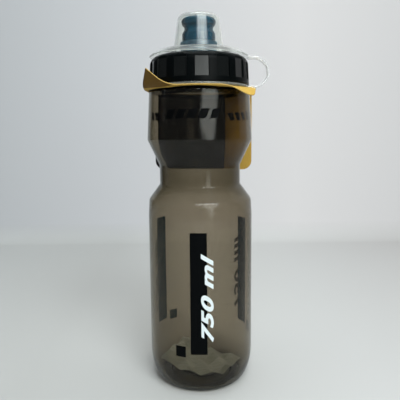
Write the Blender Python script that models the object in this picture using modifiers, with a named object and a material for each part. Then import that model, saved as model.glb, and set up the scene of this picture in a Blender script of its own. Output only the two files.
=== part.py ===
"""Bicycle water bottle with a screw cap, push-pull valve, tethered dust cover and hang tag.

Metres, +Z up. The origin is the middle of the foot, the bottle's axis is Z and its front faces -Y.
"""

import math

import bmesh
import bpy
from mathutils import Matrix, Vector

# Bottle body, from the foot up. Radii are outer radii.
BODY_RADIUS = 0.03675
WALL = 0.0012
FOOT_CORNER_WIDTH = 0.009
FOOT_CORNER_HEIGHT = 0.022
FOOT_RING_WIDTH = 0.0055
FOOT_GROOVE_DEPTH = 0.0008
FOOT_PAD_RADIUS = 0.013
LOWER_HEIGHT = 0.1288
LOWER_SHOULDER_RISE = 0.0115
LOWER_SHOULDER_ROUND = 0.030
WAIST_DEPTH = 0.0084
WAIST_HEIGHT = 0.0132
WAIST_ROUND = 0.0025
CONE_RISE = 0.0175
CREASE_INSET = 0.0002
CREASE_ROUND = 0.004
UPPER_HEIGHT = 0.032
UPPER_TAPER = 0.00175
SHOULDER_ROUND = 0.004
NECK_RADIUS = 0.0288

# Gap between pieces that touch, and the room for the threads between neck and cap.
GAP = 0.0003
THREAD_ROOM = 0.0027

# Hang tag: one folded card with a hole for the neck.
CARD = 0.0006
TAG_WIDTH = 0.076
TAG_FRONT = 0.037
TAG_DROP = 0.0565
TAG_HOLE_CLEARANCE = 0.0007
TAG_CORNER_ROUND = 0.007
TAG_BEND = 0.0012
TAG_TURN = math.radians(4.0)
EAR_HEADING = math.radians(225.2)
EAR_CLEARANCE = 0.0014
EAR_TRIM = 0.0026
EAR_ANGLE = math.radians(50.0)
LOBE_HEADING = math.radians(-40.5)
LOBE_CLEARANCE = 0.0025
LOBE_ANGLE = math.radians(-25.0)
CREASE_WIDTH = 0.0024

# Tether: a ring under the cap, a flat strap and the dust cover's rim.
RING_PLAY = 0.0020
RING_THICKNESS = 0.0016
RING_COLLAR_WALL = 0.0007
RING_COLLAR_HEIGHT = 0.0030
RING_INSET = 0.0004
STRAP_THICKNESS = 0.0016
STRAP_WIDTH = 0.008
STRAP_REACH = 0.0144

# Screw cap.
CAP_DEPTH = 0.0164
CAP_PLATE = 0.0024
CAP_WALL = 0.0029
CAP_DRAFT = 0.0009
CAP_CORNER_ROUND = 0.006
CROWN_RISE = 0.0011
BOSS_WIDTH = 0.0030
BOSS_HEIGHT = 0.0012
LOCATING_RIB_WALL = 0.001
LOCATING_RIB_DEPTH = 0.0025
PANEL_COUNT = 15
PANEL_ANGLE = math.radians(15.5)
PANEL_PHASE = math.radians(3.0)
PANEL_DEPTH = 0.0008
PANEL_FOOT = 0.0032
PANEL_HEIGHT = 0.0119

# Gasket under the cap's plate.
GASKET_THICKNESS = 0.0018
GASKET_WIDTH = 0.0045

# Push-pull valve.
VALVE_BORE = 0.0117
HOUSING_WALL = 0.0009
COLLAR_HEIGHT = 0.0090
HOUSING_FLANGE_WIDTH = 0.0035
HOUSING_FLANGE = 0.0016
HOUSING_TAIL = 0.0031
CORE_FLANGE = 0.0015
CORE_RING_WALL = 0.0015
CORE_RING_HEIGHT = 0.0020
SPOKE_COUNT = 3
SPOKE_WIDTH = 0.0022
POST_RADIUS = 0.0032
NOZZLE_CLEARANCE = 0.0004
NOZZLE_TRAVEL = 0.004
NOZZLE_INSERTION = 0.0079
NOZZLE_SHOW = 0.0043
NOZZLE_WALL = 0.0016
NOZZLE_THROAT_DEPTH = 0.0015
NOZZLE_THROAT_HEIGHT = 0.0045
NOZZLE_BULB_SWELL = 0.0006
NOZZLE_BULB_HEIGHT = 0.0096
NOZZLE_TOP_HEIGHT = 0.0115
NOZZLE_TOP_WALL = 0.002
OUTLET_RADIUS = 0.0045
O_RING_SECTION = 0.001
O_RING_HEIGHT = 0.0024

# Dust cover.
COVER_WALL = 0.0009
COVER_RIM_INSET = 0.0004
COVER_RIM_LIFT = 0.0006
BRIM_EDGE_WIDTH = 0.0045
BRIM_EDGE_RISE = 0.0035
BRIM_LIFT = 0.0038
DOME_STEP = 0.0005
DOME_SIDE_CLEARANCE = 0.0012
DOME_CLEARANCE = 0.0019
DOME_CORNER_ROUND = 0.0042
SNAP_RIB_GRIP = 0.0008

# Care leaflet lying on the bottle's floor.
LEAFLET_THICKNESS = 0.0005
LEAFLET_LENGTH = 0.050
LEAFLET_DEPTH = 0.036
LEAFLET_CURL = 0.0085
LEAFLET_TURN = math.radians(-25.0)
LEAFLET_CRUMPLE = 0.0013

# Facets round the axis, and how far an arc's facets may lie inside it.
BODY_STEPS = 40
CAP_STEPS = 60
SMALL_STEPS = 24
ARC_TOLERANCE = 0.0001

# Heights that follow from the sizes above.
WAIST_FOOT_Z = LOWER_HEIGHT + LOWER_SHOULDER_RISE
WAIST_TOP_Z = WAIST_FOOT_Z + WAIST_HEIGHT
CREASE_Z = WAIST_TOP_Z + CONE_RISE
SHOULDER_Z = CREASE_Z + UPPER_HEIGHT
TAG_Z = SHOULDER_Z + GAP
RING_Z = TAG_Z + CARD + RING_PLAY
CAP_Z = RING_Z + RING_THICKNESS + GAP
SEAT_Z = CAP_Z + CAP_DEPTH
GASKET_Z = SEAT_Z - GAP - GASKET_THICKNESS
MOUTH_Z = GASKET_Z - GAP
CAP_EDGE_Z = SEAT_Z + CAP_PLATE
CROWN_Z = CAP_EDGE_Z + CROWN_RISE
UNDERSIDE_Z = CROWN_Z - CAP_PLATE
COLLAR_Z = CROWN_Z + COLLAR_HEIGHT
HOUSING_FOOT_Z = UNDERSIDE_Z - GAP - HOUSING_FLANGE - HOUSING_TAIL
NOZZLE_FOOT_Z = COLLAR_Z - NOZZLE_INSERTION
FLARE_Z = COLLAR_Z + NOZZLE_SHOW
NOZZLE_TOP_Z = FLARE_Z + NOZZLE_TOP_HEIGHT
COVER_RIM_Z = CAP_EDGE_Z + COVER_RIM_LIFT
DOME_FOOT_Z = CROWN_Z + BRIM_LIFT
DOME_TOP_Z = NOZZLE_TOP_Z + DOME_CLEARANCE + COVER_WALL

# Radii that follow from the sizes above.
WAIST_RADIUS = BODY_RADIUS - WAIST_DEPTH
CREASE_RADIUS = BODY_RADIUS - CREASE_INSET
UPPER_TOP_RADIUS = CREASE_RADIUS - UPPER_TAPER
CAP_BORE = NECK_RADIUS + THREAD_ROOM
CAP_RADIUS = CAP_BORE + CAP_WALL
RING_RADIUS = CAP_RADIUS - RING_INSET
COVER_RIM_RADIUS = CAP_RADIUS - COVER_RIM_INSET
HOUSING_RADIUS = VALVE_BORE + HOUSING_WALL
CAP_HOLE = HOUSING_RADIUS + GAP
BOSS_RADIUS = CAP_HOLE + BOSS_WIDTH
SKIRT_RADIUS = VALVE_BORE - NOZZLE_CLEARANCE
NOZZLE_THROAT_RADIUS = SKIRT_RADIUS - NOZZLE_THROAT_DEPTH
NOZZLE_BULB_RADIUS = SKIRT_RADIUS + NOZZLE_BULB_SWELL
NOZZLE_BORE = NOZZLE_THROAT_RADIUS - NOZZLE_WALL
DOME_TOP_RADIUS = NOZZLE_BULB_RADIUS + DOME_SIDE_CLEARANCE + COVER_WALL
DOME_FOOT_RADIUS = BOSS_RADIUS + GAP + DOME_STEP + COVER_WALL


def clear_scene():
    for thing in list(bpy.data.objects):
        bpy.data.objects.remove(thing)


def new_collection(name):
    collection = bpy.data.collections.new(name)
    bpy.context.scene.collection.children.link(collection)
    return collection


def plastic(name, colour, roughness, transmission=0.0, alpha=1.0):
    material = bpy.data.materials.new(name)
    material.use_nodes = True
    shader = material.node_tree.nodes["Principled BSDF"]
    shader.inputs["Base Color"].default_value = (*colour, 1.0)
    shader.inputs["Roughness"].default_value = roughness
    shader.inputs["Metallic"].default_value = 0.0
    shader.inputs["Transmission Weight"].default_value = transmission
    shader.inputs["Alpha"].default_value = alpha
    return material


def add_object(name, mesh, collection, material=None):
    thing = bpy.data.objects.new(name, mesh)
    collection.objects.link(thing)
    if material:
        mesh.materials.append(material)
    return thing


def add_cutter(name, mesh, collection):
    cutter = add_object(name, mesh, collection)
    cutter.hide_render = True
    cutter.display_type = "WIRE"
    return cutter


def rounded(corners, closed=False):
    """Corners as (x, y, radius); each corner with a radius becomes an arc between its two sides."""
    points = []
    count = len(corners)
    for index, (x, y, radius) in enumerate(corners):
        corner = Vector((x, y))
        at_end = not closed and index in (0, count - 1)
        if radius == 0 or at_end:
            points.append(corner)
            continue
        back = Vector(corners[index - 1][:2]) - corner
        ahead = Vector(corners[(index + 1) % count][:2]) - corner
        half = back.angle(ahead) / 2
        reach = min(radius / math.tan(half), 0.49 * back.length, 0.49 * ahead.length)
        middle = (back.normalized() + ahead.normalized()).normalized()
        centre = corner + middle * (reach / math.cos(half))
        start = corner + back.normalized() * reach - centre
        end = corner + ahead.normalized() * reach - centre
        sweep = start.angle_signed(end)
        arc_radius = max(start.length, ARC_TOLERANCE)
        facet = 2 * math.acos(1 - ARC_TOLERANCE / arc_radius)
        arc_steps = max(1, math.ceil(abs(sweep) / facet))
        for step in range(arc_steps + 1):
            turn = Matrix.Rotation(-sweep * step / arc_steps, 2)
            points.append(centre + turn @ start)
    return points


def inset(points, distance):
    """The line moved inwards, to the right of its direction, by the distance."""
    moved = []
    for index, point in enumerate(points):
        sides = []
        if index > 0:
            sides.append((point - points[index - 1]).normalized())
        if index < len(points) - 1:
            sides.append((points[index + 1] - point).normalized())
        normals = [Vector((side.y, -side.x)) for side in sides]
        normal = sum(normals, Vector((0, 0))).normalized()
        moved.append(point + normal * distance / normal.dot(normals[0]))
    return moved


def profile_mesh(name, points, closed):
    """A line of edges in the XZ plane, for turning about Z."""
    mesh = bpy.data.meshes.new(name)
    edges = [(i, i + 1) for i in range(len(points) - 1)]
    if closed:
        edges.append((len(points) - 1, 0))
    mesh.from_pydata([(p[0], 0, p[1]) for p in points], edges, [])
    return mesh


def turned(name, points, steps, collection, material=None, closed=True, wall=0.0):
    """A profile turned about Z. It runs down its outer side; an open one gets a wall inside it."""
    piece = add_object(name, profile_mesh(name, points, closed), collection, material)
    screw = piece.modifiers.new("turn", "SCREW")
    screw.axis = "Z"
    screw.steps = steps
    screw.render_steps = steps
    screw.use_merge_vertices = True
    screw.merge_threshold = 0.00001
    screw.use_smooth_shade = True
    if wall:
        solidify = piece.modifiers.new("wall", "SOLIDIFY")
        solidify.thickness = wall
        solidify.offset = -1
        solidify.use_even_offset = True
    return piece


def boolean(piece, other, operation):
    step = piece.modifiers.new(other.name, "BOOLEAN")
    step.operation = operation
    step.object = other
    step.solver = "EXACT"


def bottle_outline():
    """The body's outer profile, from the mouth down to the middle of the foot."""
    wall_foot_radius = BODY_RADIUS - FOOT_CORNER_WIDTH
    ring_inside = wall_foot_radius - FOOT_RING_WIDTH
    corners = [
        (NECK_RADIUS, MOUTH_Z, 0),
        (NECK_RADIUS, SHOULDER_Z, 0),
        (UPPER_TOP_RADIUS, SHOULDER_Z, SHOULDER_ROUND),
        (CREASE_RADIUS, CREASE_Z, CREASE_ROUND),
        (WAIST_RADIUS, WAIST_TOP_Z, WAIST_ROUND),
        (WAIST_RADIUS, WAIST_FOOT_Z, WAIST_ROUND),
        (BODY_RADIUS, LOWER_HEIGHT, LOWER_SHOULDER_ROUND),
        (BODY_RADIUS, FOOT_CORNER_HEIGHT, 0),
    ]
    points = rounded(corners)
    corner_steps = 5
    for step in range(1, corner_steps + 1):
        angle = math.pi / 2 * step / corner_steps
        radius = wall_foot_radius + FOOT_CORNER_WIDTH * math.cos(angle)
        height = FOOT_CORNER_HEIGHT * (1 - math.sin(angle))
        points.append(Vector((radius, height)))
    points += [
        Vector((ring_inside, 0)),
        Vector((ring_inside - FOOT_GROOVE_DEPTH, FOOT_GROOVE_DEPTH)),
        Vector((FOOT_PAD_RADIUS + FOOT_GROOVE_DEPTH, FOOT_GROOVE_DEPTH)),
        Vector((FOOT_PAD_RADIUS, 0)),
        Vector((0, 0)),
    ]
    return points


def make_bottle_shell(parts):
    smoke = plastic("smoky_translucent_plastic", (0.20, 0.17, 0.13), 0.25, 0.7, 0.6)
    turned("bottle_shell", bottle_outline(), BODY_STEPS, parts, smoke, closed=False, wall=WALL)


def panel_cutters(cutters):
    """Blocks round the cap, each with its inner face at a grip panel's floor."""
    side = CAP_RADIUS - CAP_DRAFT / 2
    block_depth = CAP_WALL
    floor = side * math.cos(PANEL_ANGLE / 2) - PANEL_DEPTH
    lean = math.atan(CAP_DRAFT / (CAP_EDGE_Z - CAP_Z))
    build = bmesh.new()
    for index in range(PANEL_COUNT):
        block = bmesh.ops.create_cube(build, size=1)["verts"]
        size = (block_depth, 2 * side * math.sin(PANEL_ANGLE / 2), PANEL_HEIGHT)
        bmesh.ops.scale(build, vec=size, verts=block)
        bmesh.ops.rotate(build, verts=block, cent=(0, 0, 0), matrix=Matrix.Rotation(-lean, 3, "Y"))
        middle = CAP_Z + PANEL_FOOT + PANEL_HEIGHT / 2
        bmesh.ops.translate(build, verts=block, vec=(floor + block_depth / 2, 0, middle))
        around = PANEL_PHASE - math.pi / 2 + 2 * math.pi * index / PANEL_COUNT
        bmesh.ops.rotate(build, verts=block, cent=(0, 0, 0), matrix=Matrix.Rotation(around, 3, "Z"))
    mesh = bpy.data.meshes.new("grip_panel_cutters")
    build.to_mesh(mesh)
    build.free()
    return add_cutter("grip_panel_cutters", mesh, cutters)


def gasket_radii():
    middle = NECK_RADIUS - WALL / 2
    return middle - GASKET_WIDTH / 2, middle + GASKET_WIDTH / 2


def make_screw_cap(parts, cutters):
    black = plastic("black_gloss_plastic", (0.012, 0.013, 0.014), 0.22)
    rib_outside = gasket_radii()[0] - GAP
    rib_inside = rib_outside - LOCATING_RIB_WALL
    boss_round = min(BOSS_HEIGHT, BOSS_WIDTH) / 2
    corners = [
        (CAP_HOLE, UNDERSIDE_Z, 0),
        (CAP_HOLE, CROWN_Z + BOSS_HEIGHT, boss_round),
        (BOSS_RADIUS, CROWN_Z + BOSS_HEIGHT, boss_round),
        (BOSS_RADIUS, CROWN_Z, 0),
        (CAP_RADIUS - CAP_DRAFT, CAP_EDGE_Z, CAP_CORNER_ROUND),
        (CAP_RADIUS, CAP_Z, 0),
        (CAP_BORE, CAP_Z, 0),
        (CAP_BORE, SEAT_Z, 0),
        (rib_outside, SEAT_Z, 0),
        (rib_outside, UNDERSIDE_Z - LOCATING_RIB_DEPTH, 0),
        (rib_inside, UNDERSIDE_Z - LOCATING_RIB_DEPTH, 0),
        (rib_inside, UNDERSIDE_Z, 0),
    ]
    cap = turned("screw_cap", rounded(corners, closed=True), CAP_STEPS, parts, black)
    boolean(cap, panel_cutters(cutters), "DIFFERENCE")


def make_cap_gasket(parts):
    silicone = plastic("grey_silicone", (0.30, 0.31, 0.32), 0.6)
    inner, outer = gasket_radii()
    corners = [
        (inner, GASKET_Z, 0),
        (inner, GASKET_Z + GASKET_THICKNESS, 0),
        (outer, GASKET_Z + GASKET_THICKNESS, 0),
        (outer, GASKET_Z, 0),
    ]
    turned("cap_gasket", rounded(corners, closed=True), BODY_STEPS, parts, silicone)


def make_valve_housing(parts):
    frosted = plastic("frosted_plastic", (0.62, 0.68, 0.70), 0.4, 0.5, 0.7)
    flange_top = UNDERSIDE_Z - GAP
    flange_foot = flange_top - HOUSING_FLANGE
    rim_round = HOUSING_WALL / 3
    corners = [
        (VALVE_BORE, HOUSING_FOOT_Z, 0),
        (VALVE_BORE, COLLAR_Z, rim_round),
        (HOUSING_RADIUS, COLLAR_Z, rim_round),
        (HOUSING_RADIUS, flange_top, 0),
        (HOUSING_RADIUS + HOUSING_FLANGE_WIDTH, flange_top, 0),
        (HOUSING_RADIUS + HOUSING_FLANGE_WIDTH, flange_foot, 0),
        (HOUSING_RADIUS, flange_foot, 0),
        (HOUSING_RADIUS, HOUSING_FOOT_Z, 0),
    ]
    turned("valve_housing", rounded(corners, closed=True), SMALL_STEPS, parts, frosted)


def make_valve_core(parts, cutters):
    """A flanged ring that plugs the housing's foot, with a post on spokes in its middle."""
    white = plastic("natural_white_plastic", (0.70, 0.72, 0.70), 0.4)
    flange_top = HOUSING_FOOT_Z - GAP
    foot = flange_top - CORE_FLANGE
    ring_radius = VALVE_BORE - GAP
    ring_inside = ring_radius - CORE_RING_WALL
    ring_top = HOUSING_FOOT_Z + CORE_RING_HEIGHT
    ring_corners = [
        (ring_inside, foot, 0),
        (ring_inside, ring_top, 0),
        (ring_radius, ring_top, 0),
        (ring_radius, flange_top, 0),
        (HOUSING_RADIUS, flange_top, 0),
        (HOUSING_RADIUS, foot, 0),
    ]
    core = turned("valve_core", rounded(ring_corners, closed=True), SMALL_STEPS, parts, white)

    head_radius = OUTLET_RADIUS - GAP
    head_top = NOZZLE_TOP_Z - NOZZLE_TRAVEL - GAP
    head_height = 1.6 * NOZZLE_TOP_WALL
    post_corners = [
        (0, head_top, 0),
        (head_radius, head_top, head_radius / 4),
        (head_radius, head_top - head_height, 0),
        (POST_RADIUS, head_top - head_height - (head_radius - POST_RADIUS), 0),
        (POST_RADIUS, foot, 0),
        (0, foot, 0),
    ]
    post = turned("core_post", rounded(post_corners), SMALL_STEPS // 2, cutters, closed=False)
    post.hide_render = True
    post.display_type = "WIRE"
    boolean(core, post, "UNION")

    overlap = CORE_RING_WALL / 2
    spoke_length = ring_inside + overlap
    for index in range(SPOKE_COUNT):
        build = bmesh.new()
        bmesh.ops.create_cube(build, size=1)
        size = (spoke_length, SPOKE_WIDTH, ring_top - foot - 2 * GAP)
        bmesh.ops.scale(build, vec=size, verts=build.verts)
        bmesh.ops.translate(build, verts=build.verts, vec=(spoke_length / 2, 0, (foot + ring_top) / 2))
        around = Matrix.Rotation(2 * math.pi * index / SPOKE_COUNT + math.pi / 2, 3, "Z")
        bmesh.ops.rotate(build, verts=build.verts, cent=(0, 0, 0), matrix=around)
        mesh = bpy.data.meshes.new("core_spoke")
        build.to_mesh(mesh)
        build.free()
        spoke = add_cutter(f"core_spoke_{index + 1}", mesh, cutters)
        boolean(core, spoke, "UNION")


def o_ring_place():
    """Radius and height of the middle of the O-ring's section, which runs in the valve's bore."""
    return VALVE_BORE - GAP - O_RING_SECTION / 2, NOZZLE_FOOT_Z + O_RING_HEIGHT


def make_nozzle(parts):
    teal = plastic("teal_soft_plastic", (0.005, 0.045, 0.09), 0.35)
    ring_radius, ring_z = o_ring_place()
    groove_radius = ring_radius - O_RING_SECTION / 2 - GAP
    groove_half = O_RING_SECTION / 2 + GAP
    throat_z = FLARE_Z + NOZZLE_THROAT_HEIGHT
    bulb_z = FLARE_Z + NOZZLE_BULB_HEIGHT
    inner_top = NOZZLE_TOP_Z - NOZZLE_TOP_WALL
    bulb_half = NOZZLE_BULB_RADIUS - NOZZLE_THROAT_RADIUS
    outlet_round = NOZZLE_TOP_WALL / 4
    corners = [
        (NOZZLE_BORE, NOZZLE_FOOT_Z, 0),
        (NOZZLE_BORE, inner_top, NOZZLE_TOP_WALL),
        (OUTLET_RADIUS, inner_top, 0),
        (OUTLET_RADIUS, NOZZLE_TOP_Z, outlet_round),
        (NOZZLE_BULB_RADIUS - bulb_half / 2, NOZZLE_TOP_Z, (NOZZLE_TOP_Z - bulb_z) * 0.7),
        (NOZZLE_BULB_RADIUS, bulb_z, bulb_half),
        (NOZZLE_BULB_RADIUS - bulb_half / 4, bulb_z - bulb_half, bulb_half),
        (NOZZLE_THROAT_RADIUS, throat_z, bulb_half),
        (NOZZLE_THROAT_RADIUS, FLARE_Z + bulb_half, bulb_half),
        (SKIRT_RADIUS, FLARE_Z, 0),
        (SKIRT_RADIUS, ring_z + groove_half, 0),
        (groove_radius, ring_z + groove_half, 0),
        (groove_radius, ring_z - groove_half, 0),
        (SKIRT_RADIUS, ring_z - groove_half, 0),
        (SKIRT_RADIUS, NOZZLE_FOOT_Z, 0),
    ]
    turned("nozzle", rounded(corners, closed=True), SMALL_STEPS, parts, teal)


def make_nozzle_o_ring(parts):
    rubber = plastic("black_rubber", (0.02, 0.02, 0.02), 0.6)
    radius, height = o_ring_place()
    sides = 6
    points = []
    for side in range(sides):
        angle = -2 * math.pi * side / sides
        points.append((radius + O_RING_SECTION / 2 * math.cos(angle), height + O_RING_SECTION / 2 * math.sin(angle)))
    turned("nozzle_o_ring", points, SMALL_STEPS, parts, rubber)


def make_tether_ring(parts):
    """A washer under the cap, with a thin collar that snaps into the cap's bore."""
    clear = plastic("clear_grey_plastic", (0.55, 0.57, 0.57), 0.3, 0.5, 0.7)
    collar_outside = CAP_BORE - GAP
    collar_inside = collar_outside - RING_COLLAR_WALL
    top = RING_Z + RING_THICKNESS
    corners = [
        (collar_inside, RING_Z, 0),
        (collar_inside, top + RING_COLLAR_HEIGHT, 0),
        (collar_outside, top + RING_COLLAR_HEIGHT, 0),
        (collar_outside, top, 0),
        (RING_RADIUS, top, RING_THICKNESS / 3),
        (RING_RADIUS, RING_Z, RING_THICKNESS / 3),
    ]
    turned("tether_ring", rounded(corners, closed=True), BODY_STEPS, parts, clear)


def make_tether_strap(parts):
    """A flat strap: out from the ring, round in a half circle and back to the dust cover's rim."""
    clear = plastic("clear_soft_plastic", (0.80, 0.82, 0.82), 0.2, 0.8, 0.5)
    low = RING_Z + RING_THICKNESS / 2
    high = COVER_RIM_Z - COVER_WALL / 2
    loop = (high - low) / 2
    loop_x = RING_RADIUS + STRAP_REACH - STRAP_THICKNESS / 2 - loop
    steps = 14
    line = [(RING_RADIUS + GAP, low)]
    for step in range(steps + 1):
        angle = math.pi * (step / steps - 0.5)
        line.append((loop_x + loop * math.cos(angle), low + loop + loop * math.sin(angle)))
    line.append((COVER_RIM_RADIUS + GAP, high))

    build = bmesh.new()
    verts = [build.verts.new((x, -STRAP_WIDTH / 2, z)) for x, z in line]
    edges = [build.edges.new(pair) for pair in zip(verts, verts[1:])]
    swept = bmesh.ops.extrude_edge_only(build, edges=edges)["geom"]
    far = [item for item in swept if isinstance(item, bmesh.types.BMVert)]
    bmesh.ops.translate(build, verts=far, vec=(0, STRAP_WIDTH, 0))
    mesh = bpy.data.meshes.new("tether_strap")
    build.to_mesh(mesh)
    build.free()
    strap = add_object("tether_strap", mesh, parts, clear)
    solidify = strap.modifiers.new("thickness", "SOLIDIFY")
    solidify.thickness = STRAP_THICKNESS
    solidify.offset = 0
    solidify.use_even_offset = True


def cover_outline():
    """The cover's outer profile, from the middle of the dome's top down to the brim's edge."""
    brim_edge = COVER_RIM_RADIUS - BRIM_EDGE_WIDTH
    return rounded([
        (0, DOME_TOP_Z, 0),
        (DOME_TOP_RADIUS, DOME_TOP_Z, DOME_CORNER_ROUND),
        (DOME_FOOT_RADIUS, DOME_FOOT_Z, 0),
        (brim_edge, COVER_RIM_Z + BRIM_EDGE_RISE, 0.004),
        (COVER_RIM_RADIUS, COVER_RIM_Z, 0),
    ])


def make_dust_cover(parts):
    """A thin shell whose inner side has a rib at the dome's foot, which grips the cap's boss."""
    clear = plastic("clear_gloss_plastic", (0.85, 0.88, 0.88), 0.08, 0.9, 0.35)
    outer = cover_outline()
    inner = inset(outer, COVER_WALL)
    rib_inside = BOSS_RADIUS + GAP
    rib_outside = DOME_FOOT_RADIUS - COVER_WALL / 2
    rib_foot = CROWN_Z + BOSS_HEIGHT - SNAP_RIB_GRIP
    rib_top = DOME_FOOT_Z + COVER_WALL
    dome = [point for point in inner if point.y > rib_top]
    brim = [point for point in inner if point.x > DOME_FOOT_RADIUS + COVER_WALL]
    wall = inner[len(dome)]
    slope = (dome[-1] - wall) / (dome[-1].y - wall.y)
    rib = [
        wall + slope * (rib_top - wall.y),
        Vector((rib_inside, rib_top)),
        Vector((rib_inside, rib_foot)),
        Vector((rib_outside, rib_foot)),
        Vector((rib_outside, wall.y)),
    ]
    points = outer + list(reversed(dome + rib + brim))
    turned("dust_cover", points, BODY_STEPS, parts, clear, closed=False)


def flat_shape(name, outlines, collection):
    """A flat sheet at z = 0 from closed outlines; one that lies inside another is a hole."""
    curve = bpy.data.curves.new(name, "CURVE")
    curve.dimensions = "2D"
    curve.fill_mode = "BOTH"
    for points in outlines:
        spline = curve.splines.new("POLY")
        spline.points.add(len(points) - 1)
        for point, (x, y) in zip(spline.points, points):
            point.co = (x, y, 0, 1)
        spline.use_cyclic_u = True
    drawn = add_object(name + "_outline", curve, collection)
    bpy.context.view_layer.update()
    evaluated = drawn.evaluated_get(bpy.context.evaluated_depsgraph_get())
    mesh = bpy.data.meshes.new_from_object(evaluated)
    bpy.data.objects.remove(drawn)
    return mesh


def fold_lines(heading, distance, angle, steps, width):
    """Parallel crease lines that share one fold, square to a heading from the bottle's axis."""
    outward = Vector((math.cos(heading), math.sin(heading), 0))
    lines = []
    for step in range(steps):
        reach = distance + width * (step / (steps - 1) - 0.5)
        lines.append((outward * reach, outward, angle / steps))
    return lines


def fold_sheet(build, lines):
    """Folds a flat sheet along its crease lines, the outermost line of each fold first."""
    for point, outward, _ in lines:
        geometry = build.verts[:] + build.edges[:] + build.faces[:]
        bmesh.ops.bisect_plane(build, geom=geometry, plane_co=point, plane_no=outward, dist=0.000001)
    flat = {vert: vert.co.copy() for vert in build.verts}
    for point, outward, angle in reversed(lines):
        beyond = [vert for vert in build.verts if (flat[vert] - point).dot(outward) > 0.000005]
        turn = Matrix.Rotation(angle, 3, outward.cross(Vector((0, 0, 1))))
        bmesh.ops.rotate(build, verts=beyond, cent=point, matrix=turn)


def make_hang_tag(parts):
    """A card with the neck through it, bent down behind the bottle, one corner up and one down."""
    kraft = plastic("gold_kraft_card", (0.50, 0.32, 0.10), 0.7)
    half = TAG_WIDTH / 2
    panel_y = BODY_RADIUS + GAP + CARD / 2
    bend_middle = panel_y - TAG_BEND * (1 - math.pi / 4)
    rear = bend_middle + TAG_BEND * math.pi / 4 + TAG_DROP
    outline = rounded([
        (-half + EAR_TRIM, -TAG_FRONT, 0),
        (half, -TAG_FRONT, TAG_CORNER_ROUND),
        (half, rear, TAG_CORNER_ROUND),
        (-half, rear, TAG_CORNER_ROUND),
    ], closed=True)
    hole_radius = NECK_RADIUS + TAG_HOLE_CLEARANCE
    hole = []
    for step in range(BODY_STEPS):
        angle = 2 * math.pi * step / BODY_STEPS
        hole.append((hole_radius * math.cos(angle), hole_radius * math.sin(angle)))
    mesh = flat_shape("hang_tag", [outline, hole], parts)

    build = bmesh.new()
    build.from_mesh(mesh)
    bmesh.ops.remove_doubles(build, verts=build.verts, dist=0.000001)
    ear_distance = CAP_RADIUS + EAR_CLEARANCE
    lobe_distance = BODY_RADIUS + LOBE_CLEARANCE
    rear_width = TAG_BEND * math.pi / 2
    folds = [
        fold_lines(EAR_HEADING, ear_distance, EAR_ANGLE, 3, CREASE_WIDTH),
        fold_lines(LOBE_HEADING, lobe_distance, LOBE_ANGLE, 3, CREASE_WIDTH),
        fold_lines(math.pi / 2, bend_middle, -math.pi / 2, 4, rear_width),
    ]
    fold_sheet(build, [line for fold in folds for line in fold])
    bmesh.ops.recalc_face_normals(build, faces=build.faces)
    bmesh.ops.rotate(build, verts=build.verts, cent=(0, 0, 0), matrix=Matrix.Rotation(-TAG_TURN, 3, "Z"))
    bmesh.ops.translate(build, verts=build.verts, vec=(0, 0, TAG_Z + CARD / 2))
    build.to_mesh(mesh)
    build.free()
    tag = add_object("hang_tag", mesh, parts, kraft)
    solidify = tag.modifiers.new("card", "SOLIDIFY")
    solidify.thickness = CARD
    solidify.offset = 0
    solidify.use_even_offset = True


def make_care_leaflet(parts):
    """A folded slip on the bottle's floor, curled up at its ends by the round wall."""
    paper = plastic("pale_paper", (0.72, 0.70, 0.62), 0.8)
    build = bmesh.new()
    bmesh.ops.create_grid(build, x_segments=8, y_segments=6, size=0.5)
    bmesh.ops.scale(build, vec=(LEAFLET_LENGTH, LEAFLET_DEPTH, 1), verts=build.verts)
    for vert in build.verts:
        across = vert.co.x / (LEAFLET_LENGTH / 2)
        along = vert.co.y / (LEAFLET_DEPTH / 2)
        curl = LEAFLET_CURL * (across ** 2 + 0.5 * along ** 2)
        crumple = LEAFLET_CRUMPLE * math.sin(3.1 * across + 2.0 * along) * math.cos(2.3 * along - across)
        vert.co.z = curl + crumple
    bmesh.ops.rotate(build, verts=build.verts, cent=(0, 0, 0), matrix=Matrix.Rotation(LEAFLET_TURN, 3, "Z"))
    lowest = min(vert.co.z for vert in build.verts)
    height = WALL + GAP + LEAFLET_THICKNESS / 2 - lowest
    bmesh.ops.translate(build, verts=build.verts, vec=(0, 0, height))
    mesh = bpy.data.meshes.new("care_leaflet")
    build.to_mesh(mesh)
    build.free()
    leaflet = add_object("care_leaflet", mesh, parts, paper)
    solidify = leaflet.modifiers.new("layers", "SOLIDIFY")
    solidify.thickness = LEAFLET_THICKNESS
    solidify.offset = 0


def smooth_all(parts):
    for piece in parts.objects:
        piece.data.shade_smooth()
        piece.data.set_sharp_from_angle(angle=math.radians(40))


def main():
    clear_scene()
    parts = new_collection("bicycle_water_bottle")
    cutters = new_collection("cutters")
    make_bottle_shell(parts)
    make_hang_tag(parts)
    make_care_leaflet(parts)
    make_cap_gasket(parts)
    make_screw_cap(parts, cutters)
    make_valve_housing(parts)
    make_valve_core(parts, cutters)
    make_nozzle(parts)
    make_nozzle_o_ring(parts)
    make_tether_ring(parts)
    make_tether_strap(parts)
    make_dust_cover(parts)
    smooth_all(parts)


main()
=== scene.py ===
import math

import bmesh
import bpy
from mathutils import Matrix, Vector


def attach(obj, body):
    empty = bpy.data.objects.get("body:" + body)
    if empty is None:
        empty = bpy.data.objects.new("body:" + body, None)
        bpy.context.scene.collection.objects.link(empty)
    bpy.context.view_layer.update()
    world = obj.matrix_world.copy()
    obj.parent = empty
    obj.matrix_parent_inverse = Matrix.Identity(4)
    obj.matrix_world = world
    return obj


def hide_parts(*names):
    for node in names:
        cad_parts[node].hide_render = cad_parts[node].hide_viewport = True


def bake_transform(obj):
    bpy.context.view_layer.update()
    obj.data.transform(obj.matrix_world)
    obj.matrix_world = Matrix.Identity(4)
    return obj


MM = 0.001

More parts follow.
